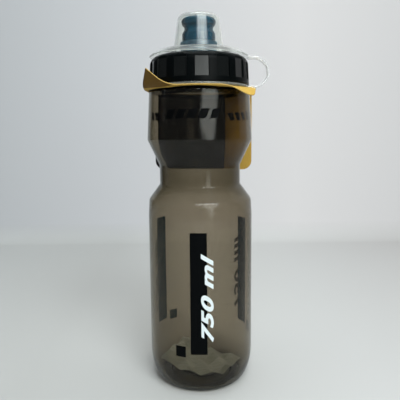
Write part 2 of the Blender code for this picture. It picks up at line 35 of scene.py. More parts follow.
# Body, millimetres. Radii are outer radii.
BODY_RADIUS = 36.75
CREASE_RADIUS = 36.55
SHOULDER_RADIUS = 34.8
WAIST_RADIUS = 28.35
NECK_RADIUS = 28.8
WALL = 1.2
LOWER_Z = 128.8
WAIST_FOOT_Z = 140.3
WAIST_TOP_Z = 153.5
CREASE_Z = 171.0
SHOULDER_Z = 204.0
MOUTH_Z = 221.8

# The rounded base, its foot ring and the pad in its middle.
BASE_BEND = 9.0
BASE_BEND_Z = 22.0
FOOT_RADIUS = BODY_RADIUS - BASE_BEND
FOOT_RING_INSIDE = 22.25
FOOT_RECESS = 0.8
PAD_RADIUS = 13.0

# Where the blown wall is thicker, and by how much.
WAIST_MIDDLE_Z = 147.0
WAIST_REACH = 7.0
WAIST_EXTRA = 1.5
FOOT_REACH = 16.0
FOOT_EXTRA = 1.0
NECK_ROOT_Z = 200.0
NECK_ROOT_RADIUS = 32.5
NECK_THICK_Z = 217.0
NECK_FADE = 8.0
NECK_EXTRA = 2.2

# Thread, with two starts.
THREAD_LEAD = 9.0
THREAD_HEIGHT = 1.1
THREAD_TURNS = 1.15
THREAD_STEPS = 96
THREAD_RUN_OUT = 10
THREAD_SINK = 0.2
NECK_THREAD_Z = 209.6
CAP_THREAD_Z = 211.9

# Screw cap and gasket.
CAP_Z = 207.8
SEAT_Z = 224.2
CAP_EDGE_Z = 226.6
CROWN_Z = 227.7
UNDERSIDE_Z = 225.3
CAP_RADIUS = 34.4
CAP_TOP_RADIUS = 33.5
CAP_BORE = 31.5
CAP_HOLE = 12.9
BOSS_RADIUS = 15.9
BOSS_Z = 228.9
RIB_WALL = 1.0
RIB_DEPTH = 2.5
PLAY = 0.3
GASKET_MIDDLE = NECK_RADIUS - WALL / 2
GASKET_HALF = 2.25
GASKET_FOOT_Z = 222.1
GASKET_TOP_Z = 223.9

# Grip panels, one in each sector of the cap.
PANEL_COUNT = 15
SECTOR = 2 * math.pi / PANEL_COUNT
PANEL_HALF = math.radians(7.75)
PANEL_EDGE = math.radians(0.45)
PANEL_FOOT_Z = 211.0
PANEL_TOP_Z = 223.0
PANEL_MIDDLE_Z = PANEL_FOOT_Z + 5.95
PANEL_DEPTH = 0.8
PANEL_PHASE = math.radians(3.0) - math.pi / 2
PANEL_COLUMNS = 20

# Valve.
HOUSING_FOOT_Z = 220.3
COLLAR_Z = 236.7
VALVE_BORE = 11.7
HOUSING_RADIUS = 12.6
FLANGE_RADIUS = 16.1
FLANGE_THICK = 1.6
NOZZLE_FOOT_Z = 228.8
NOZZLE_TOP_Z = 252.5
NOZZLE_BORE = 8.2
OUTLET_RADIUS = 4.5
OUTLET_Z = 250.5
LIP_RADIUS = 11.9
NOZZLE_WAIST = 9.8
SKIRT_RADIUS = 11.3
GROOVE_RADIUS = 10.4
GROOVE_HALF = 0.8
O_RING_Z = 231.2
O_RING_RADIUS = 10.9
O_RING_HALF = 0.5

# Tether and dust cover.
RING_Z = 205.9
RING_TOP_Z = 207.5
RING_RADIUS = 34.0
RING_COLLAR_WALL = 0.7
RING_COLLAR_HEIGHT = 3.0
STRAP_LOW_Z = 206.7
STRAP_HIGH_Z = 226.75
STRAP_EDGE_X = 48.4
STRAP_HALF_THICK = 0.8
STRAP_HALF_WIDTH = 4.0
STRAP_OVERLAP = 0.25
STRAP_STRAIGHT = 1.2
COVER_RIM_Z = 227.2
COVER_TOP_Z = 255.3
COVER_WALL = 0.9
DOME_TOP_RADIUS = 14.0
DOME_FOOT_RADIUS = 17.6
DOME_FOOT_Z = 231.5
BRIM_BEND_RADIUS = 29.5
BRIM_BEND_Z = 230.7

# Hang tag.
TAG_Z = 204.5
TAG_HALF_WIDTH = 38.0
TAG_FRONT = 37.0
TAG_CORNER = 7.0
TAG_HOLE = 29.5
TAG_CARD = 0.6
TAG_TURN = math.radians(-4.0)
TAG_PANEL_Y = 37.35
TAG_PANEL_DROP = 56.5
TAG_FOLD = 1.2
EAR_HEADING = math.radians(225.2)
LOBE_HEADING = math.radians(-40.5)

# Leaflet, with the heights of its creases, a row for each line of points from front to rear.
LEAFLET_LENGTH = 50.0
LEAFLET_WIDTH = 36.0
LEAFLET_TURN = math.radians(-25.0)
LEAFLET_PAPER = 0.3
LEAFLET_HEIGHTS = (
    (12.6, 10.6, 6.2, 8.4, 5.6, 11.0, 11.0),
    (12.6, 7.4, 8.8, 4.2, 8.0, 5.2, 11.2),
    (13.8, 11.0, 4.4, 6.8, 3.8, 8.6, 8.4),
    (11.2, 7.6, 9.2, 4.2, 7.6, 4.6, 7.6),
    (13.4, 13.4, 6.8, 9.2, 5.4, 8.2, 5.4),
)

# Prints on the body: stripe, small square, capacity and dashes. Left and right are from the stripe's middle.
PRINT_AZIMUTHS = (-2.3, 117.7, 237.7)
INK_THICK = 0.06
STRIP_WIDTH = 1.2
STRIPE_FOOT_Z = 30.2
STRIPE_TOP_Z = 112.0
STRIPE_HALF = 5.55
SQUARE_LEFT = -16.0
SQUARE_RIGHT = -9.0
SQUARE_FOOT_Z = 27.8
SQUARE_TOP_Z = 35.2
CAPACITY_LENGTH = 60.0
CAPACITY_HEIGHT = 8.4
CAPACITY_RIGHT = 9.9
CAPACITY_FOOT_Z = 38.5
DASH_COUNT = 5
DASH_LEFT = -22.4
DASH_STEP = 7.6
DASH_WIDTH = 5.4
DASH_FOOT_Z = 184.8
DASH_TOP_Z = 190.6
DASH_SLANT = 0.4

# Camera, from the photograph's perspective.
CAMERA_PLACE = Vector((0.0, -315.9, 175.9)) * MM
CAMERA_TILT = math.radians(6.72)
CAMERA_ROLL = math.radians(-0.49)
CAMERA_LENS = 40.17
CAMERA_SHIFT = -0.0375

# Studio, metres.
FLOOR_FRONT = -3.0
BACKDROP_Y = 0.405
BACKDROP_BEND = 0.03
BACKDROP_HEIGHT = 3.0
BACKDROP_HALF = 4.0
AIM = (0.0, 0.0, 0.19)
LAMP_FADE = 0.24
WARM = (0.95, 1.0, 0.97)
COOL = (0.94, 1.0, 1.0)


# ---------------------------------------------------------------- mesh tools


def rounded(corners, closed=False, facet=0.02):
    """Corners as (x, y, radius) in millimetres; each radius becomes an arc between its two sides."""
    points = []
    count = len(corners)
    for index, (x, y, radius) in enumerate(corners):
        corner = Vector((x, y))
        at_end = not closed and index in (0, count - 1)
        if radius == 0 or at_end:
            points.append(corner)
            continue
        back = Vector(corners[index - 1][:2]) - corner
        ahead = Vector(corners[(index + 1) % count][:2]) - corner
        half = back.angle(ahead) / 2
        reach = min(radius / math.tan(half), 0.49 * back.length, 0.49 * ahead.length)
        middle = (back.normalized() + ahead.normalized()).normalized()
        centre = corner + middle * (reach / math.cos(half))
        start = corner + back.normalized() * reach - centre
        end = corner + ahead.normalized() * reach - centre
        sweep = start.angle_signed(end)
        arc_radius = max(start.length, facet)
        step_angle = 2 * math.acos(1 - facet / arc_radius)
        steps = max(3, math.ceil(abs(sweep) / step_angle))
        for step in range(steps + 1):
            points.append(centre + Matrix.Rotation(-sweep * step / steps, 2) @ start)
    return points


def inset(points, distance):
    """The line moved to the right of its direction by the distance, a number or a function of a point."""
    reach = distance if callable(distance) else lambda point: distance
    moved = []
    for index, point in enumerate(points):
        sides = []
        if index > 0:
            sides.append((point - points[index - 1]).normalized())
        if index < len(points) - 1:
            sides.append((points[index + 1] - point).normalized())
        normals = [Vector((side.y, -side.x)) for side in sides]
        normal = sum(normals, Vector((0, 0))).normalized()
        moved.append(point + normal * reach(point) / normal.dot(normals[0]))
    return moved


def spin_profile(build, points, steps, closed, angle=2 * math.pi, start=0.0):
    """Turns a profile in the XZ plane, in millimetres, about Z."""
    turn = Matrix.Rotation(start, 3, "Z")
    verts = [build.verts.new(turn @ Vector((p[0] * MM, 0, p[1] * MM))) for p in points]
    edges = [build.edges.new(pair) for pair in zip(verts, verts[1:])]
    if closed:
        edges.append(build.edges.new((verts[-1], verts[0])))
    full = math.isclose(angle, 2 * math.pi)
    bmesh.ops.spin(
        build,
        geom=verts + edges,
        cent=(0, 0, 0),
        axis=(0, 0, 1),
        dvec=(0, 0, 0),
        angle=angle,
        steps=steps,
        use_merge=full,
        use_duplicate=False,
    )


def make_object(build, name, materials):
    """Ends the bmesh as a smooth mesh object with these materials."""
    mesh = bpy.data.meshes.new(name)
    build.to_mesh(mesh)
    build.free()
    mesh.shade_smooth()
    for material in materials:
        mesh.materials.append(material)
    piece = bpy.data.objects.new(name, mesh)
    bpy.context.scene.collection.objects.link(piece)
    return piece


def finish_mesh(build, name, materials, sharp=35.0, merge=0.000002):
    """Merges doubles, turns the faces outwards, smooths and makes the object."""
    bmesh.ops.remove_doubles(build, verts=build.verts, dist=merge)
    wires = [edge for edge in build.edges if not edge.link_faces]
    bmesh.ops.delete(build, geom=wires, context="EDGES")
    bmesh.ops.recalc_face_normals(build, faces=build.faces)
    piece = make_object(build, name, materials)
    piece.data.set_sharp_from_angle(angle=math.radians(sharp))
    return piece


def turned(name, points, steps, material, closed=True, sharp=35.0):
    build = bmesh.new()
    spin_profile(build, points, steps, closed)
    return finish_mesh(build, name, [material], sharp)


def join_copy(build, part):
    """Adds a copy of one bmesh to another and returns the verts it brought."""
    known = set(build.verts)
    mesh = bpy.data.meshes.new("part")
    part.to_mesh(mesh)
    build.from_mesh(mesh)
    bpy.data.meshes.remove(mesh)
    return [vert for vert in build.verts if vert not in known]


def curve_mesh(name, curve):
    """The mesh that Blender makes of a text or a flat curve."""
    drawn = bpy.data.objects.new(name, curve)
    bpy.context.scene.collection.objects.link(drawn)
    bpy.context.view_layer.update()
    evaluated = drawn.evaluated_get(bpy.context.evaluated_depsgraph_get())
    mesh = bpy.data.meshes.new_from_object(evaluated)
    bpy.data.objects.remove(drawn)
    return mesh


def cut(build, place, normal, near):
    """Cuts the whole mesh at a plane through a place, in millimetres."""
    geometry = build.verts[:] + build.edges[:] + build.faces[:]
    bmesh.ops.bisect_plane(build, geom=geometry, plane_co=place * MM, plane_no=normal, dist=near)


def clamp(value):
    return min(1.0, max(0.0, value))


# ---------------------------------------------------------------- material tools


class Nodes:
    """A short way to add and link shader nodes."""

    def __init__(self, name):
        self.material = bpy.data.materials.new(name)
        self.material.use_nodes = True
        self.tree = self.material.node_tree
        self.tree.nodes.clear()
        self.output = self.tree.nodes.new("ShaderNodeOutputMaterial")
        self.coords = self.tree.nodes.new("ShaderNodeTexCoord").outputs["Object"]

    def link(self, source, target):
        self.tree.links.new(source, target)

    def noise(self, scale, detail=3.0, rough=0.5, stretch=None):
        node = self.tree.nodes.new("ShaderNodeTexNoise")
        node.inputs["Scale"].default_value = scale
        node.inputs["Detail"].default_value = detail
        node.inputs["Roughness"].default_value = rough
        source = self.coords
        if stretch:
            mapping = self.tree.nodes.new("ShaderNodeMapping")
            mapping.inputs["Scale"].default_value = stretch
            self.link(source, mapping.inputs["Vector"])
            source = mapping.outputs["Vector"]
        self.link(source, node.inputs["Vector"])
        return node.outputs["Fac"]

    def spread(self, source, low, high, low_to, high_to):
        node = self.tree.nodes.new("ShaderNodeMapRange")
        node.inputs["From Min"].default_value = low
        node.inputs["From Max"].default_value = high
        node.inputs["To Min"].default_value = low_to
        node.inputs["To Max"].default_value = high_to
        self.link(source, node.inputs["Value"])
        return node.outputs["Result"]

    def ramp(self, source, stops):
        node = self.tree.nodes.new("ShaderNodeValToRGB")
        elements = node.color_ramp.elements
        while len(elements) < len(stops):
            elements.new(0.5)
        for element, (place, colour) in zip(elements, stops):
            element.position = place
            element.color = (*colour, 1.0)
        self.link(source, node.inputs["Fac"])
        return node.outputs["Color"]

    def mix_colour(self, factor, first, second):
        node = self.tree.nodes.new("ShaderNodeMix")
        node.data_type = "RGBA"
        self.put(factor, node.inputs[0])
        self.put(first, node.inputs[6])
        self.put(second, node.inputs[7])
        return node.outputs[2]

    def maths(self, operation, first, second=None):
        node = self.tree.nodes.new("ShaderNodeMath")
        node.operation = operation
        self.put(first, node.inputs[0])
        if second is not None:
            self.put(second, node.inputs[1])
        return node.outputs[0]

    def axis(self, name):
        node = self.tree.nodes.new("ShaderNodeSeparateXYZ")
        self.link(self.coords, node.inputs[0])
        return node.outputs[name]

    def off_axis(self):
        """Distance from the Z axis."""
        flat = self.tree.nodes.new("ShaderNodeVectorMath")
        flat.operation = "MULTIPLY"
        flat.inputs[1].default_value = (1.0, 1.0, 0.0)
        self.link(self.coords, flat.inputs[0])
        reach = self.tree.nodes.new("ShaderNodeVectorMath")
        reach.operation = "LENGTH"
        self.link(flat.outputs[0], reach.inputs[0])
        return reach.outputs["Value"]

    def bump(self, height, strength, distance):
        node = self.tree.nodes.new("ShaderNodeBump")
        node.inputs["Strength"].default_value = strength
        node.inputs["Distance"].default_value = distance
        self.link(height, node.inputs["Height"])
        return node.outputs["Normal"]

    def put(self, value, socket):
        if isinstance(value, bpy.types.NodeSocket):
            self.link(value, socket)
        elif isinstance(value, tuple) and len(value) == 3:
            socket.default_value = (*value, 1.0)
        else:
            socket.default_value = value

    def principled(self, colour, roughness, **sockets):
        node = self.tree.nodes.new("ShaderNodeBsdfPrincipled")
        self.put(colour, node.inputs["Base Color"])
        self.put(roughness, node.inputs["Roughness"])
        for name, value in sockets.items():
            self.put(value, node.inputs[name.replace("_", " ")])
        return node.outputs[0]

    def transparent(self, colour):
        node = self.tree.nodes.new("ShaderNodeBsdfTransparent")
        self.put(colour, node.inputs["Color"])
        return node.outputs[0]

    def mix(self, factor, first, second):
        node = self.tree.nodes.new("ShaderNodeMixShader")
        self.put(factor, node.inputs[0])
        self.link(first, node.inputs[1])
        self.link(second, node.inputs[2])
        return node.outputs[0]

    def show(self, shader):
        self.link(shader, self.output.inputs["Surface"])
        return self.material


def clear_plastic(name, tints, roughness, haze, lamp_tint, ior=1.5, edge_haze=None):
    """See-through plastic. Lamps shine through it with the lamp tint, so what is inside is lit."""
    n = Nodes(name)
    patch = n.noise(45.0, 4.0)
    colour = n.mix_colour(n.spread(patch, 0.3, 0.7, 0.0, 1.0), *tints)
    gloss = n.spread(n.noise(180.0, 2.0), 0.3, 0.7, roughness * 0.8, roughness * 1.3)
    clearness = 1.0 - haze
    if edge_haze is not None:
        weight = n.tree.nodes.new("ShaderNodeLayerWeight")
        weight.inputs["Blend"].default_value = 0.5
        clearness = n.spread(weight.outputs["Facing"], 0.55, 1.0, 1.0 - haze, 1.0 - edge_haze)
    glass = n.principled(colour, gloss, Transmission_Weight=clearness, IOR=ior)
    path = n.tree.nodes.new("ShaderNodeLightPath")
    return n.show(n.mix(path.outputs["Is Shadow Ray"], glass, n.transparent(lamp_tint)))


def smoky_plastic():
    """Clear at its faces, with the smoke inside the wall, so that edges and thick places are darker."""
    tints = (0.93, 0.866, 0.80), (0.90, 0.832, 0.765)
    material = clear_plastic("smoky_plastic", tints, 0.035, 0.002, (0.95, 0.94, 0.92), ior=1.32)
    tree = material.node_tree
    smoke = tree.nodes.new("ShaderNodeVolumeAbsorption")
    smoke.inputs["Color"].default_value = (0.39, 0.37, 0.26, 1.0)
    smoke.inputs["Density"].default_value = 750.0
    output = next(node for node in tree.nodes if node.type == "OUTPUT_MATERIAL")
    tree.links.new(smoke.outputs["Volume"], output.inputs["Volume"])
    return material


def cover_plastic():
    tints = (0.95, 0.965, 0.94), (0.93, 0.95, 0.925)
    return clear_plastic("clear_cover_plastic", tints, 0.03, 0.003, (0.95, 0.96, 0.95), 1.38, 0.42)


def ring_plastic():
    tints = (0.62, 0.64, 0.62), (0.57, 0.59, 0.57)
    return clear_plastic("pale_grey_clear_plastic", tints, 0.28, 0.22, (0.7, 0.7, 0.7))


def strap_plastic():
    tints = (0.95, 0.955, 0.95), (0.93, 0.94, 0.935)
    return clear_plastic("clear_strap_plastic", tints, 0.15, 0.14, (0.9, 0.9, 0.9), 1.42, 0.40)


def frosted_plastic():
    tints = (0.30, 0.52, 0.64), (0.27, 0.48, 0.60)
    return clear_plastic("frosted_collar_plastic", tints, 0.40, 0.04, (0.7, 0.78, 0.82), 1.36, 0.10)


def black_plastic():
    """The cap's satin skin."""
    n = Nodes("black_cap_plastic")
    colour = n.mix_colour(n.noise(70.0, 3.0), (0.001, 0.0018, 0.002), (0.0022, 0.003, 0.0034))
    gloss = n.spread(n.noise(240.0, 4.0), 0.3, 0.7, 0.26, 0.36)
    skin = n.bump(n.noise(900.0, 2.0), 0.06, 0.00008)
    return n.show(n.principled(colour, gloss, Normal=skin, Specular_IOR_Level=0.05))


def polished_black():
    """The grip panels, polished in the mould."""
    n = Nodes("polished_panel_plastic")
    colour = n.mix_colour(n.noise(90.0, 3.0), (0.002, 0.003, 0.003), (0.004, 0.005, 0.005))
    gloss = n.spread(n.noise(130.0, 4.0), 0.35, 0.65, 0.10, 0.20)
    ripple = n.bump(n.noise(260.0, 3.0, stretch=(1.0, 1.0, 0.3)), 0.10, 0.00012)
    return n.show(n.principled(colour, gloss, Normal=ripple, Specular_IOR_Level=0.48))


def teal_plastic():
    n = Nodes("teal_soft_plastic")
    colour = n.mix_colour(n.noise(60.0, 3.0), (0.001, 0.027, 0.050), (0.002, 0.036, 0.064))
    gloss = n.spread(n.noise(300.0, 3.0), 0.3, 0.7, 0.20, 0.28)
    skin = n.bump(n.noise(1200.0, 2.0), 0.08, 0.00006)
    return n.show(n.principled(colour, gloss, Normal=skin, Specular_IOR_Level=0.55))


def white_plastic():
    n = Nodes("natural_white_plastic")
    colour = n.mix_colour(n.noise(50.0, 3.0), (0.62, 0.64, 0.62), (0.70, 0.71, 0.68))
    return n.show(n.principled(colour, n.spread(n.noise(200.0), 0.3, 0.7, 0.32, 0.45)))


def black_rubber():
    n = Nodes("black_rubber")
    colour = n.mix_colour(n.noise(90.0, 3.0), (0.012, 0.012, 0.012), (0.022, 0.022, 0.021))
    return n.show(n.principled(colour, n.spread(n.noise(300.0), 0.3, 0.7, 0.55, 0.7)))


def grey_silicone():
    n = Nodes("grey_silicone")
    colour = n.mix_colour(n.noise(70.0, 3.0), (0.26, 0.27, 0.28), (0.32, 0.33, 0.34))
    return n.show(n.principled(colour, n.spread(n.noise(250.0), 0.3, 0.7, 0.5, 0.65)))


def print_ink(name, colour, colour_worn, roughness):
    n = Nodes(name)
    mixed = n.mix_colour(n.noise(160.0, 4.0), colour, colour_worn)
    gloss = n.spread(n.noise(400.0), 0.3, 0.7, roughness, roughness + 0.15)
    return n.show(n.principled(mixed, gloss, Specular_IOR_Level=0.04))


def card_surface(name, colour, colour_worn, finish=None):
    """Kraft card with fine fibres. The finish may add what is printed on one side."""
    n = Nodes(name)
    fibre = n.noise(500.0, 5.0, 0.7, stretch=(1.0, 0.35, 0.35))
    cloud = n.noise(35.0, 3.0)
    base = n.mix_colour(n.spread(fibre, 0.3, 0.7, 0.0, 1.0), colour, colour_worn)
    base = n.mix_colour(n.spread(cloud, 0.35, 0.65, 0.0, 0.35), base, tuple(0.82 * c for c in colour))
    if finish:
        base = finish(n, base, fibre, cloud)
    gloss = n.spread(fibre, 0.3, 0.7, 0.55, 0.75)
    weave = n.bump(fibre, 0.15, 0.00008)
    return n.show(n.principled(base, gloss, Normal=weave, Specular_IOR_Level=0.12))


def card_print(n, base, fibre, cloud):
    """Black round the neck and on most of the rear panel, a lighter front edge, and painted shade that makes
    the raised ear dark.
    """
    hole_edge = 0.0352
    panel_y = 0.0355
    gold_strip_x = 0.0205
    front_y = -0.0355
    ear_corner = -0.052
    round_hole = n.maths("LESS_THAN", n.off_axis(), hole_edge)
    behind = n.maths("GREATER_THAN", n.axis("Y"), panel_y)
    left = n.maths("LESS_THAN", n.axis("X"), gold_strip_x)
    dark = n.maths("MAXIMUM", n.maths("MULTIPLY", behind, left), round_hole)
    black = n.mix_colour(fibre, (0.006, 0.006, 0.0055), (0.012, 0.011, 0.010))
    base = n.mix_colour(dark, base, black)
    front = n.maths("LESS_THAN", n.axis("Y"), front_y)
    base = n.mix_colour(front, base, (0.72, 0.47, 0.095))
    # Painted shade: the raised ear at the front-left corner faces away from the lamps, so it is painted dark
    # brown.
    corner = n.maths("LESS_THAN", n.maths("ADD", n.axis("X"), n.axis("Y")), ear_corner)
    painted_ear_shade = n.mix_colour(cloud, (0.165, 0.092, 0.018), (0.115, 0.062, 0.013))
    return n.mix_colour(corner, base, painted_ear_shade)


def leaflet_paper():
    """Pale paper with faint ruled lines, and painted shade that gives each cell a darker tone, standing in
    for the shading of the crumpled facets.
    """
    n = Nodes("pale_leaflet_paper")
    fibre = n.noise(420.0, 5.0, 0.65)
    lines = n.tree.nodes.new("ShaderNodeTexWave")
    lines.bands_direction = "X"
    lines.inputs["Scale"].default_value = 95.0
    lines.inputs["Distortion"].default_value = 0.4
    turn = n.tree.nodes.new("ShaderNodeMapping")
    turn.inputs["Rotation"].default_value = (0.0, 0.0, math.radians(-65.0))
    n.link(n.coords, turn.inputs["Vector"])
    n.link(turn.outputs["Vector"], lines.inputs["Vector"])
    base = n.mix_colour(fibre, (0.44, 0.47, 0.46), (0.54, 0.57, 0.56))
    ruled = n.spread(lines.outputs["Fac"], 0.62, 0.9, 0.0, 0.22)
    base = n.mix_colour(ruled, base, (0.25, 0.24, 0.20))
    # Painted shade: Voronoi cells of about 12 mm are each darkened by a random amount towards grey-green, in
    # place of the crumpled facets' shading.
    facets = n.tree.nodes.new("ShaderNodeTexVoronoi")
    facets.inputs["Scale"].default_value = 85.0
    n.link(n.coords, facets.inputs["Vector"])
    facet_painted_shade = n.tree.nodes.new("ShaderNodeSeparateXYZ")
    n.link(facets.outputs["Color"], facet_painted_shade.inputs[0])
    shade = n.spread(facet_painted_shade.outputs["X"], 0.0, 1.0, 0.0, 0.7)
    base = n.mix_colour(shade, base, (0.20, 0.215, 0.20))
    return n.show(n.principled(base, 0.75, Normal=n.bump(fibre, 0.2, 0.0001)))


# ---------------------------------------------------------------- body


def body_outline():
    """The body's outer profile, from the mouth down to the middle of the foot."""
    points = rounded([
        (NECK_RADIUS - WALL, MOUTH_Z, 0),
        (NECK_RADIUS, MOUTH_Z, 0.35),
        (NECK_RADIUS, SHOULDER_Z, 0.8),
        (SHOULDER_RADIUS, SHOULDER_Z, 1.3),
        (CREASE_RADIUS, CREASE_Z, 2.2),
        (WAIST_RADIUS, WAIST_TOP_Z, 1.0),
        (WAIST_RADIUS, WAIST_FOOT_Z, 1.0),
        (BODY_RADIUS - 0.65, LOWER_Z + 0.9, 6.0),
        (BODY_RADIUS, LOWER_Z - 10.0, 60.0),
        (BODY_RADIUS, BASE_BEND_Z, 0),
    ], facet=0.012)
    steps = 20
    for step in range(1, steps + 1):
        angle = math.pi / 2 * step / steps
        reach = FOOT_RADIUS + BASE_BEND * math.cos(angle)
        points.append(Vector((reach, BASE_BEND_Z * (1 - math.sin(angle)))))
    foot = rounded([
        (FOOT_RADIUS, 0, 0),
        (FOOT_RING_INSIDE, 0, 0.6),
        (FOOT_RING_INSIDE - FOOT_RECESS, FOOT_RECESS, 0.6),
        (PAD_RADIUS + FOOT_RECESS, FOOT_RECESS, 0.6),
        (PAD_RADIUS, 0, 0.4),
        (0, 0, 0),
    ], facet=0.012)
    return points + foot[1:]


def wall_thickness(point):
    """Blown plastic stays thicker at the narrow waist, at the neck and round the foot."""
    waist = math.exp(-(((point.y - WAIST_MIDDLE_Z) / WAIST_REACH) ** 2))
    foot = max(0.0, 1.0 - point.y / FOOT_REACH)
    neck = 0.0
    if point.y > NECK_ROOT_Z:
        near = clamp((NECK_ROOT_RADIUS - point.x) / (NECK_ROOT_RADIUS - NECK_RADIUS))
        neck = near * clamp((NECK_THICK_Z - point.y) / NECK_FADE)
    return WALL + WAIST_EXTRA * waist + FOOT_EXTRA * foot + NECK_EXTRA * neck


def body_inner():
    """The inner profile, from the foot ring up to the mouth."""
    ring_sole = FOOT_RING_INSIDE + 0.05
    walls = [p for p in body_outline() if 1.0 < p.y < MOUTH_Z - 0.4 or (p.x > ring_sole and p.y < 2.0)]
    return list(reversed(inset(walls, wall_thickness)))


def make_body(material):
    outer = body_outline()
    inner = [Vector((0, WALL + FOOT_RECESS))] + body_inner()
    body = turned("bottle_body", outer + inner + outer[:1], 120, material, closed=False, sharp=30.0)
    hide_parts("bottle_shell")
    return body


def thread_ridge(name, radius, foot_z, first_start, inward, material):
    """Two thread ridges: a small trapezium swept along each helix, sunk a little into its wall."""
    build = bmesh.new()
    side = -1 if inward else 1
    steps = int(THREAD_STEPS * THREAD_TURNS)
    low_reach = 0.15
    for start in (first_start, first_start + math.pi):
        loop_before = None
        for step in range(steps + 1):
            angle = start + 2 * math.pi * step / THREAD_STEPS
            rise = foot_z + THREAD_LEAD * step / THREAD_STEPS
            fade = min(1.0, step / THREAD_RUN_OUT, (steps - step) / THREAD_RUN_OUT)
            reach = low_reach + (THREAD_HEIGHT - low_reach) * math.sin(fade * math.pi / 2)
            ring = []
            for out, up in ((-THREAD_SINK, -1.1), (reach, -0.45), (reach, 0.45), (-THREAD_SINK, 1.1)):
                r = (radius + side * out) * MM
                z = (rise + up) * MM
                ring.append(build.verts.new((r * math.cos(angle), r * math.sin(angle), z)))
            loop = [build.edges.new((ring[i], ring[(i + 1) % 4])) for i in range(4)]
            if loop_before:
                bmesh.ops.bridge_loops(build, edges=loop_before + loop)
            else:
                build.faces.new(ring)
            loop_before = loop
        build.faces.new(ring)
    return finish_mesh(build, name, [material], sharp=40.0)


# ---------------------------------------------------------------- prints


def lower_wall(z):
    """Radius of the lower body, which is the same at every height that has a print."""
    return BODY_RADIUS


def upper_wall(z):
    """Radius of the upper body, which leans in towards the shoulder."""
    lean = (CREASE_RADIUS - SHOULDER_RADIUS) / (SHOULDER_Z - CREASE_Z)
    return CREASE_RADIUS - lean * (z - CREASE_Z)


def wrap_print(build, azimuth, wall, lift):
    """Wraps flat geometry (x across, z up, y outwards) round a wall at an azimuth from the front."""
    for vert in build.verts:
        turn = math.radians(azimuth) + vert.co.x / (BODY_RADIUS * MM)
        reach = (wall(vert.co.z / MM) + lift) * MM + vert.co.y
        vert.co = Vector((reach * math.sin(turn), -reach * math.cos(turn), vert.co.z))


def printed_patch(build, x0, x1, z0, z1, slant=0.0):
    """A thin upright plate of ink, still flat and in one piece."""
    block = bmesh.ops.create_cube(build, size=1)["verts"]
    size = ((x1 - x0) * MM, INK_THICK * MM, (z1 - z0) * MM)
    bmesh.ops.scale(build, vec=size, verts=block)
    middle = ((x0 + x1) / 2 * MM, INK_THICK / 2 * MM, (z0 + z1) / 2 * MM)
    bmesh.ops.translate(build, vec=middle, verts=block)
    for vert in block:
        vert.co.x += slant * (vert.co.z - z0 * MM)


def strip_cuts(build, x0, x1):
    """Cuts flat ink into narrow upright strips, so that it can be wrapped."""
    count = int((x1 - x0) / STRIP_WIDTH)
    for step in range(1, count + 1):
        place = x0 + (x1 - x0) * step / (count + 1)
        cut(build, Vector((place, 0, 0)), (1, 0, 0), 0.0000001)


def print_round(name, draw, wall, lift, outer, inner):
    """Draws a print flat for each azimuth and wraps it. The side towards the axis has the inner ink."""
    build = bmesh.new()
    for azimuth in PRINT_AZIMUTHS:
        flat = draw()
        wrap_print(flat, azimuth, wall, lift)
        join_copy(build, flat)
        flat.free()
    piece = finish_mesh(build, name, [outer, inner], sharp=40.0, merge=0.0000005)
    for face in piece.data.polygons:
        outward = Vector((face.center.x, face.center.y, 0)).normalized()
        looks_in = face.normal.dot(outward) <= -0.3
        face.material_index = 1 if looks_in else 0
    return piece


def draw_stripe():
    """The upright stripe and the small square at its foot."""
    flat = bmesh.new()
    printed_patch(flat, -STRIPE_HALF, STRIPE_HALF, STRIPE_FOOT_Z, STRIPE_TOP_Z)
    printed_patch(flat, SQUARE_LEFT, SQUARE_RIGHT, SQUARE_FOOT_Z, SQUARE_TOP_Z)
    strip_cuts(flat, SQUARE_LEFT, STRIPE_HALF)
    return flat


def capacity_curve():
    curve = bpy.data.curves.new("capacity", "FONT")
    curve.body = "750 ml"
    curve.size = 1.0
    curve.extrude = 0.02
    curve.offset = 0.036
    curve.space_character = 1.08
    curve.shear = 0.35
    return curve


def draw_capacity():
    """The capacity, turned so that it reads upwards beside the stripe."""
    mesh = curve_mesh("capacity", capacity_curve())
    flat = bmesh.new()
    flat.from_mesh(mesh)
    bpy.data.meshes.remove(mesh)
    left = min(vert.co.x for vert in flat.verts)
    right = max(vert.co.x for vert in flat.verts)
    foot = min(vert.co.y for vert in flat.verts)
    head = max(vert.co.y for vert in flat.verts)
    ink_under, ink_over = 0.07, 0.115
    for vert in flat.verts:
        along = (vert.co.x - left) / (right - left) * CAPACITY_LENGTH
        across = (vert.co.y - foot) / (head - foot) * CAPACITY_HEIGHT
        out = ink_over if vert.co.z > 0 else ink_under
        vert.co = Vector((CAPACITY_RIGHT - across, out, CAPACITY_FOOT_Z + along)) * MM
    bmesh.ops.recalc_face_normals(flat, faces=flat.faces)
    margin = 0.5
    strip_cuts(flat, CAPACITY_RIGHT - CAPACITY_HEIGHT - margin, CAPACITY_RIGHT + margin)
    bmesh.ops.triangulate(flat, faces=flat.faces)
    return flat


def draw_dashes():
    """A row of slanted dashes on the upper body."""
    flat = bmesh.new()
    past_last = 16.0
    for index in range(DASH_COUNT):
        left = DASH_LEFT + DASH_STEP * index
        printed_patch(flat, left, left + DASH_WIDTH, DASH_FOOT_Z, DASH_TOP_Z, DASH_SLANT)
    strip_cuts(flat, DASH_LEFT, past_last)
    return flat


def make_stripes(black, back):
    return print_round("body_stripes", draw_stripe, lower_wall, 0.01, black, back)


def make_capacity_marks(white, back):
    return print_round("capacity_marks", draw_capacity, lower_wall, 0.0, white, back)


def make_upper_marks(dark):
    return print_round("upper_dashes", draw_dashes, upper_wall, 0.02, dark, dark)


# ---------------------------------------------------------------- cap


